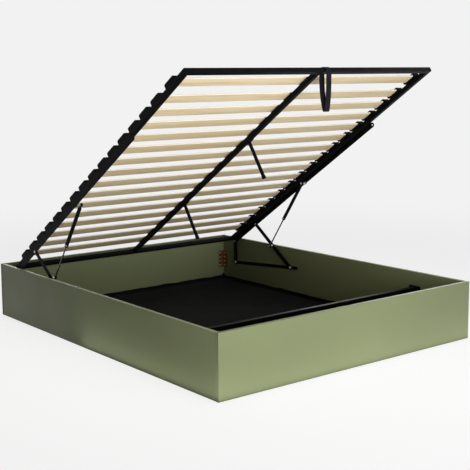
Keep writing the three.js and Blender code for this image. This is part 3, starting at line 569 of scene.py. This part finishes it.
# Corner brackets
def screw_head(shell, x, y, z, radius, height, axis="X"):
    """A pan head with a round recess, standing out of a face against the axis."""
    profile = [
        (radius * 0.98, 0),
        (radius, -height * 0.3),
        (radius * 0.9, -height * 0.72),
        (radius * 0.62, -height),
        (radius * 0.36, -height),
        (radius * 0.2, -height * 0.45),
    ]
    shell.lathe(profile, (x, y, z), axis, 20, flip=True)


def corner_bracket(end, side_name, side, sign):
    """Two wings with rows of holes, a screw in half of them, drawn at +X and +Y and mirrored from there."""
    hole_radius, screw_radius, screw_height = 4.6, 5.2, 1.8
    wing_end = 1.5  # each wing ends this far from the corner, inside the other one
    x0, y0 = INNER_X - SEAT_GAP, INNER_Y - SEAT_GAP
    bottom, top = BRACKET_BOTTOM, BRACKET_BOTTOM + BRACKET_HEIGHT
    start, finish = y0 - BRACKET_WING, y0 - wing_end
    inner_face = x0 - BRACKET_THICKNESS
    rows = [bottom + BRACKET_HEIGHT * (row + 0.5) / BRACKET_ROWS for row in range(BRACKET_ROWS)]
    columns = [
        BRACKET_WING * (column + 0.75) / (BRACKET_COLUMNS + 0.25) for column in range(BRACKET_COLUMNS)
    ]
    outline = [(start, bottom), (finish, bottom), (finish, top), (start, top)]
    holes = [circle(hole_radius, y0 - column, z, 20) for column in columns for z in rows]
    wings, screws = Shell().prism(outline, inner_face, x0, holes), Shell()
    count = len(wings.points)
    wings.points += [Vector((p.y - y0 + x0, p.x - x0 + y0, p.z)) for p in wings.points]
    wings.faces += [tuple(i + count for i in face[::-1]) for face in wings.faces]
    for z in rows:
        screw_head(screws, inner_face, y0 - columns[0], z, screw_radius, screw_height)
        screw_head(screws, x0 - columns[1], y0 - BRACKET_THICKNESS, z, screw_radius, screw_height, "Y")
    for part in (wings, screws):
        for p in part.points:
            p.y *= sign
        if sign < 0:
            part.faces = [face[::-1] for face in part.faces]
    name = f"corner_bracket_{end}_{side_name}"
    piece(name + "_steel", wings, BRONZE, "box", MM, name, bevel=0.25, side=side)
    piece(name + "_screws", screws, BRASS, "box", MM, side=side)


for side_name, side in SIDES:
    corner_bracket("foot", side_name, side, -1)
    corner_bracket("head", side_name, side, 1)


# Floor liner
def floor_liner():
    """A sheet pushed into the box: flat on the floor, turned up along the walls and creased."""
    bend, corner = 9.0, 12.0  # radii of the turn-up, and of the corners seen from above
    wall_gap, thickness = 1.6, 0.8
    spacing, edge_steps = 11.0, 14
    folds_x, folds_y, fold_width = (-405.0, 12.0, 418.0), (-640.0, -95.0, 300.0, 720.0), 7.0
    rest, swell, crease = 0.9, 0.9, 0.75
    pressed = 6.0  # the turned-up edge hugs the wall up to here, and ripples and leans over it
    ripple, lean, lean_more = 4.2, 1.3, 2.4
    wall_x, wall_y = INNER_X - wall_gap, INNER_Y - wall_gap
    core_x, core_y = wall_x - bend - corner, wall_y - bend - corner
    quarter = 0.5 * math.pi * bend
    edge_length = LINER_UPSTAND - bend + quarter
    half_x, half_y = wall_x - bend + edge_length, wall_y - bend + edge_length

    def places(half, core):
        count = int(2 * core / spacing)
        middle = [-core + 2 * core * i / count for i in range(count + 1)]
        edge = [core + (half - core) * i / edge_steps for i in range(1, edge_steps + 1)]
        return [-e for e in reversed(edge)] + middle + edge

    def placed(s, t):
        """Where the point at s, t of the flat sheet comes to lie."""
        past_x, past_y = abs(s) - core_x, abs(t) - core_y
        out_x, out_y = max(past_x, 0.0), max(past_y, 0.0)
        reach = math.hypot(out_x, out_y)
        x, y, rise = min(abs(s), core_x), min(abs(t), core_y), 0.0
        if reach > 0:
            over, run = reach - corner, reach
            if over > 0:
                turn = min(over / bend, 0.5 * math.pi)
                run = corner + bend * math.sin(turn)
                rise = bend * (1 - math.cos(turn)) + max(0.0, over - quarter)
            x, y = x + out_x / reach * run, y + out_y / reach * run
        x, y = math.copysign(x, s), math.copysign(y, t)
        spot = Vector((x * 0.004, y * 0.004, 0.0))
        wrinkle = 0.55 * noise.noise(spot) + 0.35 * noise.noise(spot * 3.1 + Vector((7, 3, 1)))
        ridge = sum(math.exp(-(((x - f) / fold_width) ** 2)) for f in folds_x)
        ridge += sum(math.exp(-(((y - f) / fold_width) ** 2)) for f in folds_y)
        flatness = max(0.0, 1 - rise / 8.0) * min(1.0, max(0.0, -max(past_x, past_y)) / 40.0 + 0.15)
        height = rest + rise + flatness * (rest + swell * wrinkle + crease * ridge)
        if rise > pressed:
            share = (rise - pressed) / (LINER_UPSTAND - pressed)
            height += ripple * share * noise.noise(Vector((x * 0.011, y * 0.011, 4.0)))
            loose = max(0.0, noise.noise(Vector((x * 0.007, y * 0.007, 9.0))))
            inwards = share * (lean + lean_more * loose)
            x -= math.copysign(inwards, x) * (out_x / reach)
            y -= math.copysign(inwards, y) * (out_y / reach)
        return x, y, height

    shell = Shell()
    across, along = places(half_x, core_x), places(half_y, core_y)
    rows = [shell.ring(placed(s, t) for s in across) for t in along]
    for near, far in zip(rows, rows[1:]):
        for i in range(len(near) - 1):
            shell.faces.append((near[i], near[i + 1], far[i + 1], far[i]))
    made = piece("floor_liner_sheet", shell, FELT, "box", MM, "floor_liner", angle=180)
    thick = made.modifiers.new("thickness", "SOLIDIFY")
    thick.thickness = thickness * 0.001
    thick.offset = 1.0


floor_liner()


# Lift mechanism
def pin(start, end, y=0.0, z=0.0, head=PIN_HEAD_RADIUS, rise=PIN_HEAD_HEIGHT):
    """A pin along X with a domed head on its inner end, at start."""
    dome = [(head * math.cos(a), start - rise * math.sin(a)) for a in (1.25, 1.0, 0.7, 0.4, 0.1)]
    profile = [(head * 0.12, start - rise), *dome, (head, start), (PIN_RADIUS, start), (PIN_RADIUS, end)]
    return Shell().lathe(profile, (0, y, z), steps=28)


def rivet_head(shell, x, y=0.0, z=0.0, height=RIVET_HEIGHT, straight=1.1, tip=5):
    """A flat round head that stands out from x, along X or, with heights below zero, against it."""
    profile = [(RIVET_RADIUS, x), (RIVET_RADIUS, x + straight), (tip, x + height)]
    shell.lathe(profile[::-1] if height < 0 else profile, (0, y, z), steps=24)


def mechanism(side_name, side):
    def make(name, shell, material, body, place, replaces=None, bevel=0.0):
        piece(f"{name}_{side_name}", shell, material, body, place, replaces, bevel, side)

    def node(name):
        return f"{name}_{side_name}"

    base_bar(make, node)
    links(make, node)
    side_plate(make, node)
    gas_strut(make, node)


def base_bar(make, node):
    """The bar on the side panel, with its screws and the two pivot pins that it carries."""
    place = at(*REAR_PIVOT, 180 - BASE_RISE)
    hole = PIN_RADIUS + PIN_CLEARANCE
    screws = (0.12 * BASE_SPAN, 0.52 * BASE_SPAN, BASE_SPAN + 0.62 * BASE_PAST_FRONT)
    holes = [circle(hole), circle(hole, BASE_SPAN)] + [circle(BASE_SCREW_RADIUS, s, 0, 20) for s in screws]
    outline = bar(BASE_SPAN, BASE_WIDTH, BASE_PAST_REAR, BASE_PAST_FRONT)
    steel = Shell().prism(outline, BASE_INNER, BASE_OUTER, holes)
    make("hinge_base_bar", steel, STEEL, "box", place, node("hinge_base"), bevel=0.5)
    heads = Shell()
    for s in screws:
        screw_head(heads, BASE_INNER, s, 0, radius=6.2, height=2.6)
    make("hinge_base_screws", heads, STEEL, "box", place)

    pin_end = BASE_OUTER - 0.1
    rear_pin = pin(LINK_INNER - SEAT_GAP, pin_end)
    make("rear_pin", rear_pin, ZINC, "box", at(*REAR_PIVOT), node("rear_pivot_pin"), bevel=0.2)
    arm_pin = pin(ARM_INNER - SEAT_GAP, pin_end)
    start, end, bore = ARM_OUTER + PLATE_GAP, BASE_INNER - SEAT_GAP, PIN_RADIUS + 0.05
    spacer = [(bore, start), (SPACER_RADIUS, start), (SPACER_RADIUS, end), (bore, end)]
    arm_pin.lathe(spacer, steps=28)
    make("arm_pin", arm_pin, ZINC, "box", at(*ARM_PIVOT), node("arm_pivot_pin"), bevel=0.2)


def links(make, node):
    """The rear link and the lift arm, with the stud on the arm that holds the gas strut."""
    hole = PIN_RADIUS + PIN_CLEARANCE
    outline = bar(REAR_LINK, LINK_WIDTH, LINK_WIDTH / 2, LINK_WIDTH / 2)
    link = Shell().prism(outline, LINK_INNER, LINK_OUTER, [circle(hole)])
    rivet_head(link, LINK_OUTER, REAR_LINK)
    place = at(*REAR_PIVOT, REAR_OPEN)
    make("rear_link_bar", link, STEEL, node("rear_link"), place, node("rear_link"), bevel=0.6)

    outline = bar(ARM_LENGTH, ARM_WIDTH, ARM_WIDTH / 2, ARM_WIDTH / 2)
    arm = Shell().prism(outline, ARM_INNER, ARM_OUTER, [circle(hole), circle(hole, ARM_LENGTH)])
    place = at(*ARM_PIVOT, ARM_OPEN)
    make("lift_arm_bar", arm, STEEL, node("lift_arm"), place, node("lift_arm"), bevel=0.6)
    profile = [
        (STUD_COLLAR_RADIUS, EYE_OUTER + PLATE_GAP),
        (STUD_COLLAR_RADIUS, ARM_INNER - 4),
        (STUD_FOOT_RADIUS, ARM_INNER - 3.2),
        (STUD_FOOT_RADIUS, ARM_INNER),
    ]
    stud = Shell().lathe(profile, (0, STRUT_ON_ARM, 0), steps=28)
    make("strut_stud", stud, ZINC, node("lift_arm"), place, bevel=0.3)


def side_plate(make, node):
    """The plate on the lid's side rail, with the pivots that it carries and its bolts."""
    nose = (FLANGE_BELOW_NOSE + RAIL_BOTTOM) / 2
    nose_y, nose_z = FOOT_END + FLANGE_FROM_FOOT + nose, RAIL_BOTTOM - nose
    outline = [
        (STRUT_ON_LID.x, -FLANGE_BELOW),
        (HEAD_END - FLANGE_BELOW, -FLANGE_BELOW),
        (HEAD_END, HEAD_END - FLANGE_BELOW),
        (HEAD_END, FLANGE_ABOVE),
        (nose_y + nose, FLANGE_ABOVE),
        *arc(nose_y, nose_z, nose, 90, 270, 16),
    ]
    holes = [
        circle(PIN_RADIUS + PIN_CLEARANCE, *ARM_ON_LID),
        circle(FLANGE_HOLE_RADIUS, nose_y, nose_z, 20),
    ]
    plate = Shell().prism(outline, FLANGE_INNER, FLANGE_OUTER, holes)
    lug, proud = circle(FLANGE_LUG_RADIUS, *STRUT_ON_LID), 0.05
    plate.prism(lug, FLANGE_INNER - proud, FLANGE_OUTER + proud)
    make("hinge_plate_steel", plate, STEEL, "lid", LID, node("hinge_plate"), bevel=0.5)

    profile = [
        (STUD_COLLAR_RADIUS, EYE_INNER - SEAT_GAP - STUD_KEEPER),
        (STUD_COLLAR_RADIUS, EYE_INNER - SEAT_GAP),
        (STUD_RADIUS, EYE_INNER - SEAT_GAP),
        (STUD_RADIUS, EYE_OUTER + SEAT_GAP),
        (STUD_COLLAR_RADIUS, EYE_OUTER + SEAT_GAP),
        (STUD_COLLAR_RADIUS, FLANGE_INNER - 3),
        (STUD_FOOT_RADIUS, FLANGE_INNER - 2.4),
        (STUD_FOOT_RADIUS, FLANGE_INNER),
    ]
    stud = Shell().lathe(profile, (0, *STRUT_ON_LID), steps=28)
    make("strut_upper_stud", stud, ZINC, "lid", LID, bevel=0.3)

    rivets = Shell()
    rivet_head(rivets, FLANGE_INNER, height=-RIVET_HEIGHT, straight=-0.6 * RIVET_HEIGHT)
    rivet_head(rivets, FLANGE_OUTER, height=0.35, straight=0.21, tip=6)
    make("lid_rear_rivet", rivets, ZINC, "lid", LID, bevel=0.2)
    lid_pin = pin(ARM_INNER - SEAT_GAP, FLANGE_OUTER, *ARM_ON_LID, head=7, rise=2)
    rivet_head(lid_pin, FLANGE_OUTER + SEAT_GAP, *ARM_ON_LID)
    make("lid_pin", lid_pin, ZINC, "lid", LID, node("lid_pivot_pin"), bevel=0.15)

    bolts = Shell()
    bolt_radius, bolt_height, bolt_line = 6.2, 2.4, 21
    for y in (-60, -190, -420, -600, -760, -1100, -1320):
        hexagon = circle(bolt_radius, y, bolt_line, 6)
        bolts.prism(hexagon, FLANGE_OUTER, FLANGE_OUTER + bolt_height)
    make("hinge_plate_bolts", bolts, STEEL, "lid", LID, bevel=0.4)


def gas_strut(make, node):
    """Drawn along Y from the upper eye to the lower one."""
    place = at(*STRUT_TOP, STRUT_OPEN)
    axis = (STRUT_X, 0, 0)
    mouth, end = CYLINDER_LENGTH, STRUT_LENGTH
    groove, crimp = CYLINDER_RADIUS - 0.5, CYLINDER_RADIUS + 0.3
    cylinder = Shell()
    eye_hole = circle(STUD_RADIUS + SEAT_GAP, 0, 0, 28)
    cylinder.prism(circle(EYE_RADIUS, 0, 0, 28), EYE_INNER, EYE_OUTER, [eye_hole])
    profile = [
        (4.5, 8),
        (4.5, 19),
        (7.4, 20),
        (9.2, 21.5),
        (CYLINDER_RADIUS, 24.5),
        (CYLINDER_RADIUS, mouth - 16),
        (groove, mouth - 14.6),
        (groove, mouth - 13),
        (CYLINDER_RADIUS, mouth - 11.6),
        (CYLINDER_RADIUS, mouth - 5),
        (9.3, mouth - 1.5),
        (7.6, mouth),
        (4.6, mouth),
    ]
    cylinder.lathe(profile, axis, "Y", 36)
    tube = node("strut_cylinder")
    make("strut_tube", cylinder, STRUT_PAINT, tube, place, tube, bevel=0.3)

    seal = Shell()
    lip = [(4.3, mouth - 1), (6.9, mouth - 1), (6.6, mouth + 1.4), (4.3, mouth + 1.4)]
    band = [(8, mouth - 16.2), (crimp, mouth - 15.8), (crimp, mouth - 11.8), (8, mouth - 11.4)]
    for ring in (lip, band):
        seal.lathe(ring, axis, "Y")
    make("strut_seal", seal, ZINC, tube, place)

    profile = [
        (ROD_RADIUS, mouth - ROD_INSIDE),
        (ROD_RADIUS, end - 21),
        (5.2, end - 20),
        (6.2, end - 19),
        (6.2, end - 8),
    ]
    rod = Shell().lathe(profile, axis, "Y")
    make("strut_rod_steel", rod, CHROME, node("strut_rod"), place, node("strut_rod"))

    profile = [
        (3.2, EYE_INNER),
        (8.2, EYE_INNER),
        (EYE_RADIUS, EYE_INNER + 1),
        (EYE_RADIUS, EYE_OUTER - 1),
        (8.2, EYE_OUTER),
        (3.2, EYE_OUTER),
    ]
    eye = Shell().lathe(profile, (0, end, 0))
    make("strut_lower_eye", eye, STRUT_PAINT, node("strut_rod"), place, bevel=0.2)
    profile = [(4.4, EYE_INNER - 2), (5.6, EYE_INNER - 1.4), (5.6, EYE_INNER)]
    clip = Shell().lathe(profile, (0, end, 0), steps=24)
    make("strut_lower_clip", clip, ZINC, node("strut_rod"), place)


for side_name, side in SIDES:
    mechanism(side_name, side)


# Lid frame
def side_rail():
    """The one on the right: a rounded tube along Y, mitred so that its outer side is the long one."""
    middle_x, half = (RAIL_OUTER + RAIL_INNER) / 2, (HEAD_END - FOOT_END) / 2 - TUBE / 2
    section = rounded(TUBE, TUBE, TUBE_RADIUS)[::-1]
    shell = Shell()
    rings = [
        shell.ring((middle_x + a, LID_MIDDLE + end * (half + a), RAIL_MIDDLE + b) for a, b in section)
        for end in (-1, 1)
    ]
    return shell.loft(rings)


def holder(shell, y):
    """Moulded slat holder over the rail: an arched cap, and a lip with two ears at its pocket's mouth."""
    half, height, shoulder = HOLDER_LENGTH / 2, HOLDER_HEIGHT, HOLDER_SHOULDER
    crown = half - 2 * (height - shoulder)  # where the shoulder's curve meets the flat top
    ear, ear_tip = HOLDER_EAR, HOLDER_EAR_HEIGHT

    def curve(start, pull, end, steps=6):
        shares = [i / steps for i in range(steps + 1)]
        return [
            tuple((1 - t) ** 2 * a + 2 * t * (1 - t) * b + t * t * c for a, b, c in zip(start, pull, end))
            for t in shares
        ]

    cap = [(-half, -0.6), (half, -0.6)]
    cap += curve((half, shoulder), (half, height), (crown, height))
    cap += curve((-crown, height), (-half, height), (-half, shoulder))
    rim = curve((-half, -2.2), (0, -6.2), (half, -2.2), 10)
    rim += [(half + ear, ear_tip), (half + ear - 0.8, ear_tip + 1.4)]
    rim += curve((half, shoulder + 3), (half - 1, height + 0.6), (crown, height + 1.2))
    rim += curve((-crown, height + 1.2), (1 - half, height + 0.6), (-half, shoulder + 3))
    rim += [(0.8 - ear - half, ear_tip + 1.4), (-half - ear, ear_tip)]
    side, floor = SLAT_WIDTH / 2 + POCKET_CLEARANCE, HOLDER_FLOOR
    roof = HOLDER_FLOOR + SLAT_THICKNESS + 2 * POCKET_CLEARANCE
    pocket = [(-side, floor), (side, floor), (side, roof), (-side, roof)]

    def ring(outline, x):
        return shell.ring((x, y + a, RAIL_TOP + b) for a, b in outline)

    mouth, step, pocket_depth = HOLDER_INNER - HOLDER_LIP, HOLDER_INNER + 0.5, RAIL_OUTER - HOLDER_END_WALL
    end = ring(cap, RAIL_OUTER)
    cap_step, rim_step, rim_mouth = ring(cap, step), ring(rim, step), ring(rim, mouth)
    pocket_mouth, pocket_end = ring(pocket, mouth), ring(pocket, pocket_depth)
    shell.skin([cap_step, end]).cap(end)
    shell.skin([rim_mouth, rim_step]).cap(rim_mouth, pocket_mouth, flip=True)
    shell.cap(rim_step, cap_step)
    shell.skin([pocket_end, pocket_mouth]).cap(pocket_end, flip=True)


def lid_side(side_name, side):
    rail = side_rail()
    piece(f"side_rail_tube_{side_name}", rail, STEEL, "lid", LID, f"side_rail_{side_name}", side=side)
    caps = Shell()
    for y in SLAT_PLACES:
        holder(caps, y)
    piece(f"slat_holders_{side_name}", caps, PLASTIC, "lid", LID, bevel=0.7, side=side)


for side_name, side in SIDES:
    lid_side(side_name, side)


def centre_rail():
    """The tube down the middle of the lid, with a low saddle under each slat."""
    half = (HEAD_END - FOOT_END) / 2 - TUBE - SEAT_GAP
    section = rounded(TUBE, TUBE, TUBE_RADIUS)
    shell = Shell()
    ends = (LID_MIDDLE - half, LID_MIDDLE + half)
    shell.loft([shell.ring((-a, y, RAIL_MIDDLE + b) for a, b in section) for y in ends])
    piece("centre_rail_tube", shell, STEEL, "lid", LID, "centre_rail")

    half_width, flank = 6.5, 2.2
    inside, outside = SLAT_WIDTH / 2 + SEAT_GAP, SLAT_WIDTH / 2 + SEAT_GAP + flank
    seat, foot, lip = SLAT_SEAT - SEAT_GAP, RAIL_TOP - 0.7, SLAT_SEAT + 1.6
    outline = [
        (-inside, foot),
        (inside, foot),
        (outside, lip),
        (inside, lip),
        (inside, seat),
        (-inside, seat),
        (-inside, lip),
        (-outside, lip),
    ]
    saddles = Shell()
    for y in SLAT_PLACES:
        saddles.prism([(y + a, b) for a, b in outline], -half_width, half_width)
    piece("slat_saddles", saddles, PLASTIC, "lid", LID, bevel=0.5)


centre_rail()


def slat(index, y):
    """A straight strip with round edges. Its points keep their place in the section for the plies."""
    section = rounded(SLAT_WIDTH, SLAT_THICKNESS, 3.2)
    middle = SLAT_SEAT + SLAT_THICKNESS / 2
    ends = (-SLAT_HALF_LENGTH, SLAT_HALF_LENGTH)
    shell = Shell()
    shell.loft([shell.ring((x, y + a, middle + b) for a, b in section) for x in ends])
    shell.values["section"] = [(x, a, b) for x in ends for a, b in section]
    piece(f"slat_{index:02d}_birch", shell, BIRCH, "lid", LID, f"slat_{index:02d}", angle=40)


for i, y in enumerate(SLAT_PLACES):
    slat(i + 1, y)


def centre_leg(index, from_foot):
    """A leg under the centre rail: its screwed plate and tube, and the cup that it stands in."""
    y = FOOT_END + from_foot
    top, bottom = RAIL_BOTTOM - SEAT_GAP, RAIL_BOTTOM - LEG_LENGTH
    under_plate = top - LEG_PLATE_THICKNESS
    leg = Shell()
    plate = rounded(TUBE, LEG_PLATE_LENGTH, 4)
    leg.loft([leg.ring((a, y + b, z) for a, b in plate) for z in (under_plate, top)])
    profile = [(8.8, bottom + 5.3), (9, bottom + 6), (9, top - 5), (10.4, top - 2.4)]
    leg.lathe(profile, (0, y, 0), "Z", 36)
    piece(f"centre_leg_{index}_tube", leg, STEEL, "lid", LID, f"centre_leg_{index}", bevel=0.4)
    cup = [(9.2, 0), (10.4, 0.7), (10.9, 2.2), (10.8, 14), (10.4, 15.4), (9.8, 16), (9.3, 16), (9.3, 5.2)]
    glide = Shell().lathe([(r, bottom + z) for r, z in cup], (0, y, 0), "Z", 36)
    piece(f"leg_glide_{index}_cup", glide, PLASTIC, "lid", LID, f"leg_glide_{index}")
    screws = Shell()
    for offset in (-20, 20):
        screw_head(screws, 0, y + offset, under_plate, radius=4.2, height=1.8, axis="Z")
    piece(f"centre_leg_{index}_screws", screws, STEEL, "lid", LID)


for i, from_foot in enumerate(LEG_FROM_FOOT):
    centre_leg(i + 1, from_foot)


# Pull strap
def pull_strap():
    """An endless band over the foot rail: two strands side by side that meet in the fold at the bottom."""
    width, thickness, drop, from_centre = 34.0, 2.0, 192.0, 44.0
    spread = 12.0  # from one strand's middle to the other's, where they leave the rail
    fold, drift = thickness, 0.5  # radius of the fold, and how far aside it hangs as a share of the spread
    around = (TUBE / 2 - TUBE_RADIUS) * math.sqrt(2) + TUBE_RADIUS + SEAT_GAP + thickness / 2
    path = []

    def turn(radius, z, start, end, side_start, side_end, steps=24):
        for i in range(steps + 1):
            share = i / steps
            angle = start + (end - start) * share
            side = side_start + (side_end - side_start) * share
            ny, nz = math.cos(angle), math.sin(angle)
            path.append((side, radius * ny, z + radius * nz, ny, nz))

    def strand(sign, steps=40):
        for i in range(1, steps):
            share = 1 - i / steps if sign > 0 else i / steps
            y = around + (fold - around) * share**2.6
            side = drift * share**2 - sign * (0.5 - 0.3 * share**4)
            path.append((side, sign * y, -share * (drop - fold), sign, 0.0))

    turn(around, 0, 0, math.pi, -0.5, 0.5)
    strand(-1)
    turn(fold, fold - drop, math.pi, 2 * math.pi, drift + 0.2, drift - 0.2)
    strand(1)
    section = rounded(width, thickness, 0.8, 3)
    shell, cloth, rings, run, before = Shell(), [], [], 0.0, None
    for side, y, z, ny, nz in path:
        x = from_centre + spread * side
        here = Vector((x, y, z))
        run += (here - before).length if before else 0.0
        before = here
        ruffle = 0.25 * noise.noise(Vector((run * 0.05, 0, 2)))
        rings.append(shell.ring((x + a, y + ny * (b + ruffle), z + nz * (b + ruffle)) for a, b in section))
        cloth += [(a * 0.001, run * 0.001, b * 0.001) for a, b in section]
    shell.skin(rings, closed=True)
    shell.values["cloth"] = cloth
    rail = LID_PIVOT + turned(Vector((FOOT_END + TUBE / 2, RAIL_MIDDLE)), -LID_TILT)
    piece("pull_strap_webbing", shell, WEBBING, "pull_strap", at(*rail), "pull_strap", angle=50)


pull_strap()


# Stage, in metres
# The studio is white. A wide soft box stands in front, a card on the floor throws light up under the lid,
# narrow strips on the floor light the foot of the panels, one soft box hangs above, and a soft weak sun
# lights the back.
BACKGROUND = 0.887
WORLD_LIGHT = 0.02
FLOOR_RADIUS, FLOOR_CORNERS = 20, 64
FLOOR_GAP = 0.0005  # the floor lies this far under the box
FLOOR_ALBEDO = 0.85
SHADOW_SHARE = 0.35  # share of the floor's own shading in what the camera sees of it
SHADOW_LEVEL = 0.3  # brightness of that shading where nothing stands in the light
FADE_START, FADE_END = 2.0, 6.0  # distances from the middle between which the shading fades out


def seen_or_lit(tree, lit, seen):
    """One shader lights the object, and the other is what camera, glossy and transmission rays meet."""
    path = add_node(tree, "LightPath")
    share = path.outputs["Is Camera Ray"]
    for name in ("Is Glossy Ray", "Is Transmission Ray"):
        most = add_node(tree, "Math", operation="MAXIMUM")
        tree.links.new(share, most.inputs[0])
        tree.links.new(path.outputs[name], most.inputs[1])
        share = most.outputs[0]
    mix = add_node(tree, "MixShader")
    tree.links.new(share, mix.inputs[0])
    tree.links.new(lit.outputs[0], mix.inputs[1])
    tree.links.new(seen.outputs[0], mix.inputs[2])
    return mix.outputs[0]


def floor():
    turns = [2 * math.pi * i / FLOOR_CORNERS for i in range(FLOOR_CORNERS)]
    mesh = bpy.data.meshes.new("floor")
    ring = [(FLOOR_RADIUS * math.cos(t), FLOOR_RADIUS * math.sin(t), 0) for t in turns]
    mesh.from_pydata(ring, [], [tuple(range(FLOOR_CORNERS))])
    made = new_object("floor", mesh)
    made.location.z = -FLOOR_GAP
    material = bpy.data.materials.new("floor")
    material.use_nodes = True
    tree = material.node_tree
    tree.nodes.clear()
    lit, shaded, glow = (add_node(tree, kind) for kind in ("BsdfDiffuse", "BsdfDiffuse", "Emission"))
    lit.inputs["Color"].default_value = (FLOOR_ALBEDO, FLOOR_ALBEDO, FLOOR_ALBEDO, 1)
    distance = add_node(tree, "VectorMath", operation="LENGTH")
    tree.links.new(add_node(tree, "NewGeometry").outputs["Position"], distance.inputs[0])

    def fading(near, far):
        reach = distance.outputs["Value"]
        return map_range(tree, reach, FADE_START, FADE_END, near, far, interpolation_type="SMOOTHSTEP")

    tree.links.new(fading(SHADOW_SHARE, 0.0), shaded.inputs["Color"])
    tree.links.new(fading(BACKGROUND - SHADOW_SHARE * SHADOW_LEVEL, BACKGROUND), glow.inputs["Strength"])
    seen = add_node(tree, "AddShader")
    tree.links.new(shaded.outputs[0], seen.inputs[0])
    tree.links.new(glow.outputs[0], seen.inputs[1])
    output = add_node(tree, "OutputMaterial")
    tree.links.new(seen_or_lit(tree, lit, seen), output.inputs["Surface"])
    material.cycles.emission_sampling = "NONE"
    mesh.materials.append(material)


def world():
    made = bpy.data.worlds.new("studio")
    bpy.context.scene.world = made
    made.use_nodes = True
    tree = made.node_tree
    lit, seen = tree.nodes["Background"], add_node(tree, "Background")
    for shader, strength in ((lit, WORLD_LIGHT), (seen, BACKGROUND)):
        shader.inputs["Color"].default_value = (1, 1, 1, 1)
        shader.inputs["Strength"].default_value = strength
    tree.links.new(seen_or_lit(tree, lit, seen), tree.nodes["World Output"].inputs["Surface"])
    made.cycles.sampling_method = "NONE"


def aimed(direction):
    return Vector(direction).to_track_quat("-Z", "Y").to_euler()


def soft_box(name, energy, place, aim, width, height, spread=180):
    data = bpy.data.lights.new(name, "AREA")
    data.shape = "RECTANGLE"
    data.energy = energy
    data.size, data.size_y = width, height
    data.spread = math.radians(spread)
    made = new_object(name, data)
    made.location = place
    made.rotation_euler = aimed(aim)
    made.visible_camera = False
    made.visible_glossy = False


def lights():
    soft_box("front", 118, (0.0, -5.0, 1.0), (0, 1, 0), 5.0, 2.0)
    soft_box("card", 12, (-0.9, -2.8, 0.02), (0.25, 0.85, 0.34), 1.6, 1.2, 62)
    soft_box("front_strip", 1.15, (-0.1, -1.115, 0.004), (0, 0, 1), 2.2, 0.17)
    soft_box("left_strip", 0.48, (-0.9, -0.5, 0.004), (0, 0, 1), 0.12, 1.2)
    soft_box("above", 11, (0.0, -0.3, 4.0), (0, 0, -1), 2.5, 2.5, 60)
    data = bpy.data.lights.new("rear", "SUN")
    data.energy = 1.0
    data.angle = math.radians(50)
    new_object("rear", data).rotation_euler = aimed((-0.6, -0.75, -0.25))


def camera():
    """A pinhole fitted to the corners of the box in the photograph, which is 470 pixels wide and high."""
    side, focal, centre_x, centre_y = 470, 993.742, 210.81, 213.42  # pixels
    azimuth, elevation, roll = -0.65348, 0.13663, -0.00962  # radians
    place = (-3.28463, -4.19681, 1.35559)
    sensor = 36  # millimetres
    across = math.cos(elevation)
    back = Vector((math.sin(azimuth) * across, -math.cos(azimuth) * across, math.sin(elevation)))
    level = (-back).cross(Vector((0, 0, 1))).normalized()
    upright = level.cross(-back)
    right = level * math.cos(roll) + upright * math.sin(roll)
    up = upright * math.cos(roll) - level * math.sin(roll)
    data = bpy.data.cameras.new("camera")
    data.sensor_fit = "HORIZONTAL"
    data.sensor_width = sensor
    data.lens = focal / side * sensor
    data.shift_x = (side / 2 - centre_x) / side
    data.shift_y = -(side / 2 - centre_y) / side
    made = new_object("camera", data)
    made.matrix_world = Matrix.Translation(place) @ Matrix((right, up, back)).transposed().to_4x4()
    bpy.context.scene.camera = made


floor()
world()
lights()
camera()
bpy.context.scene.view_settings.view_transform = "Standard"
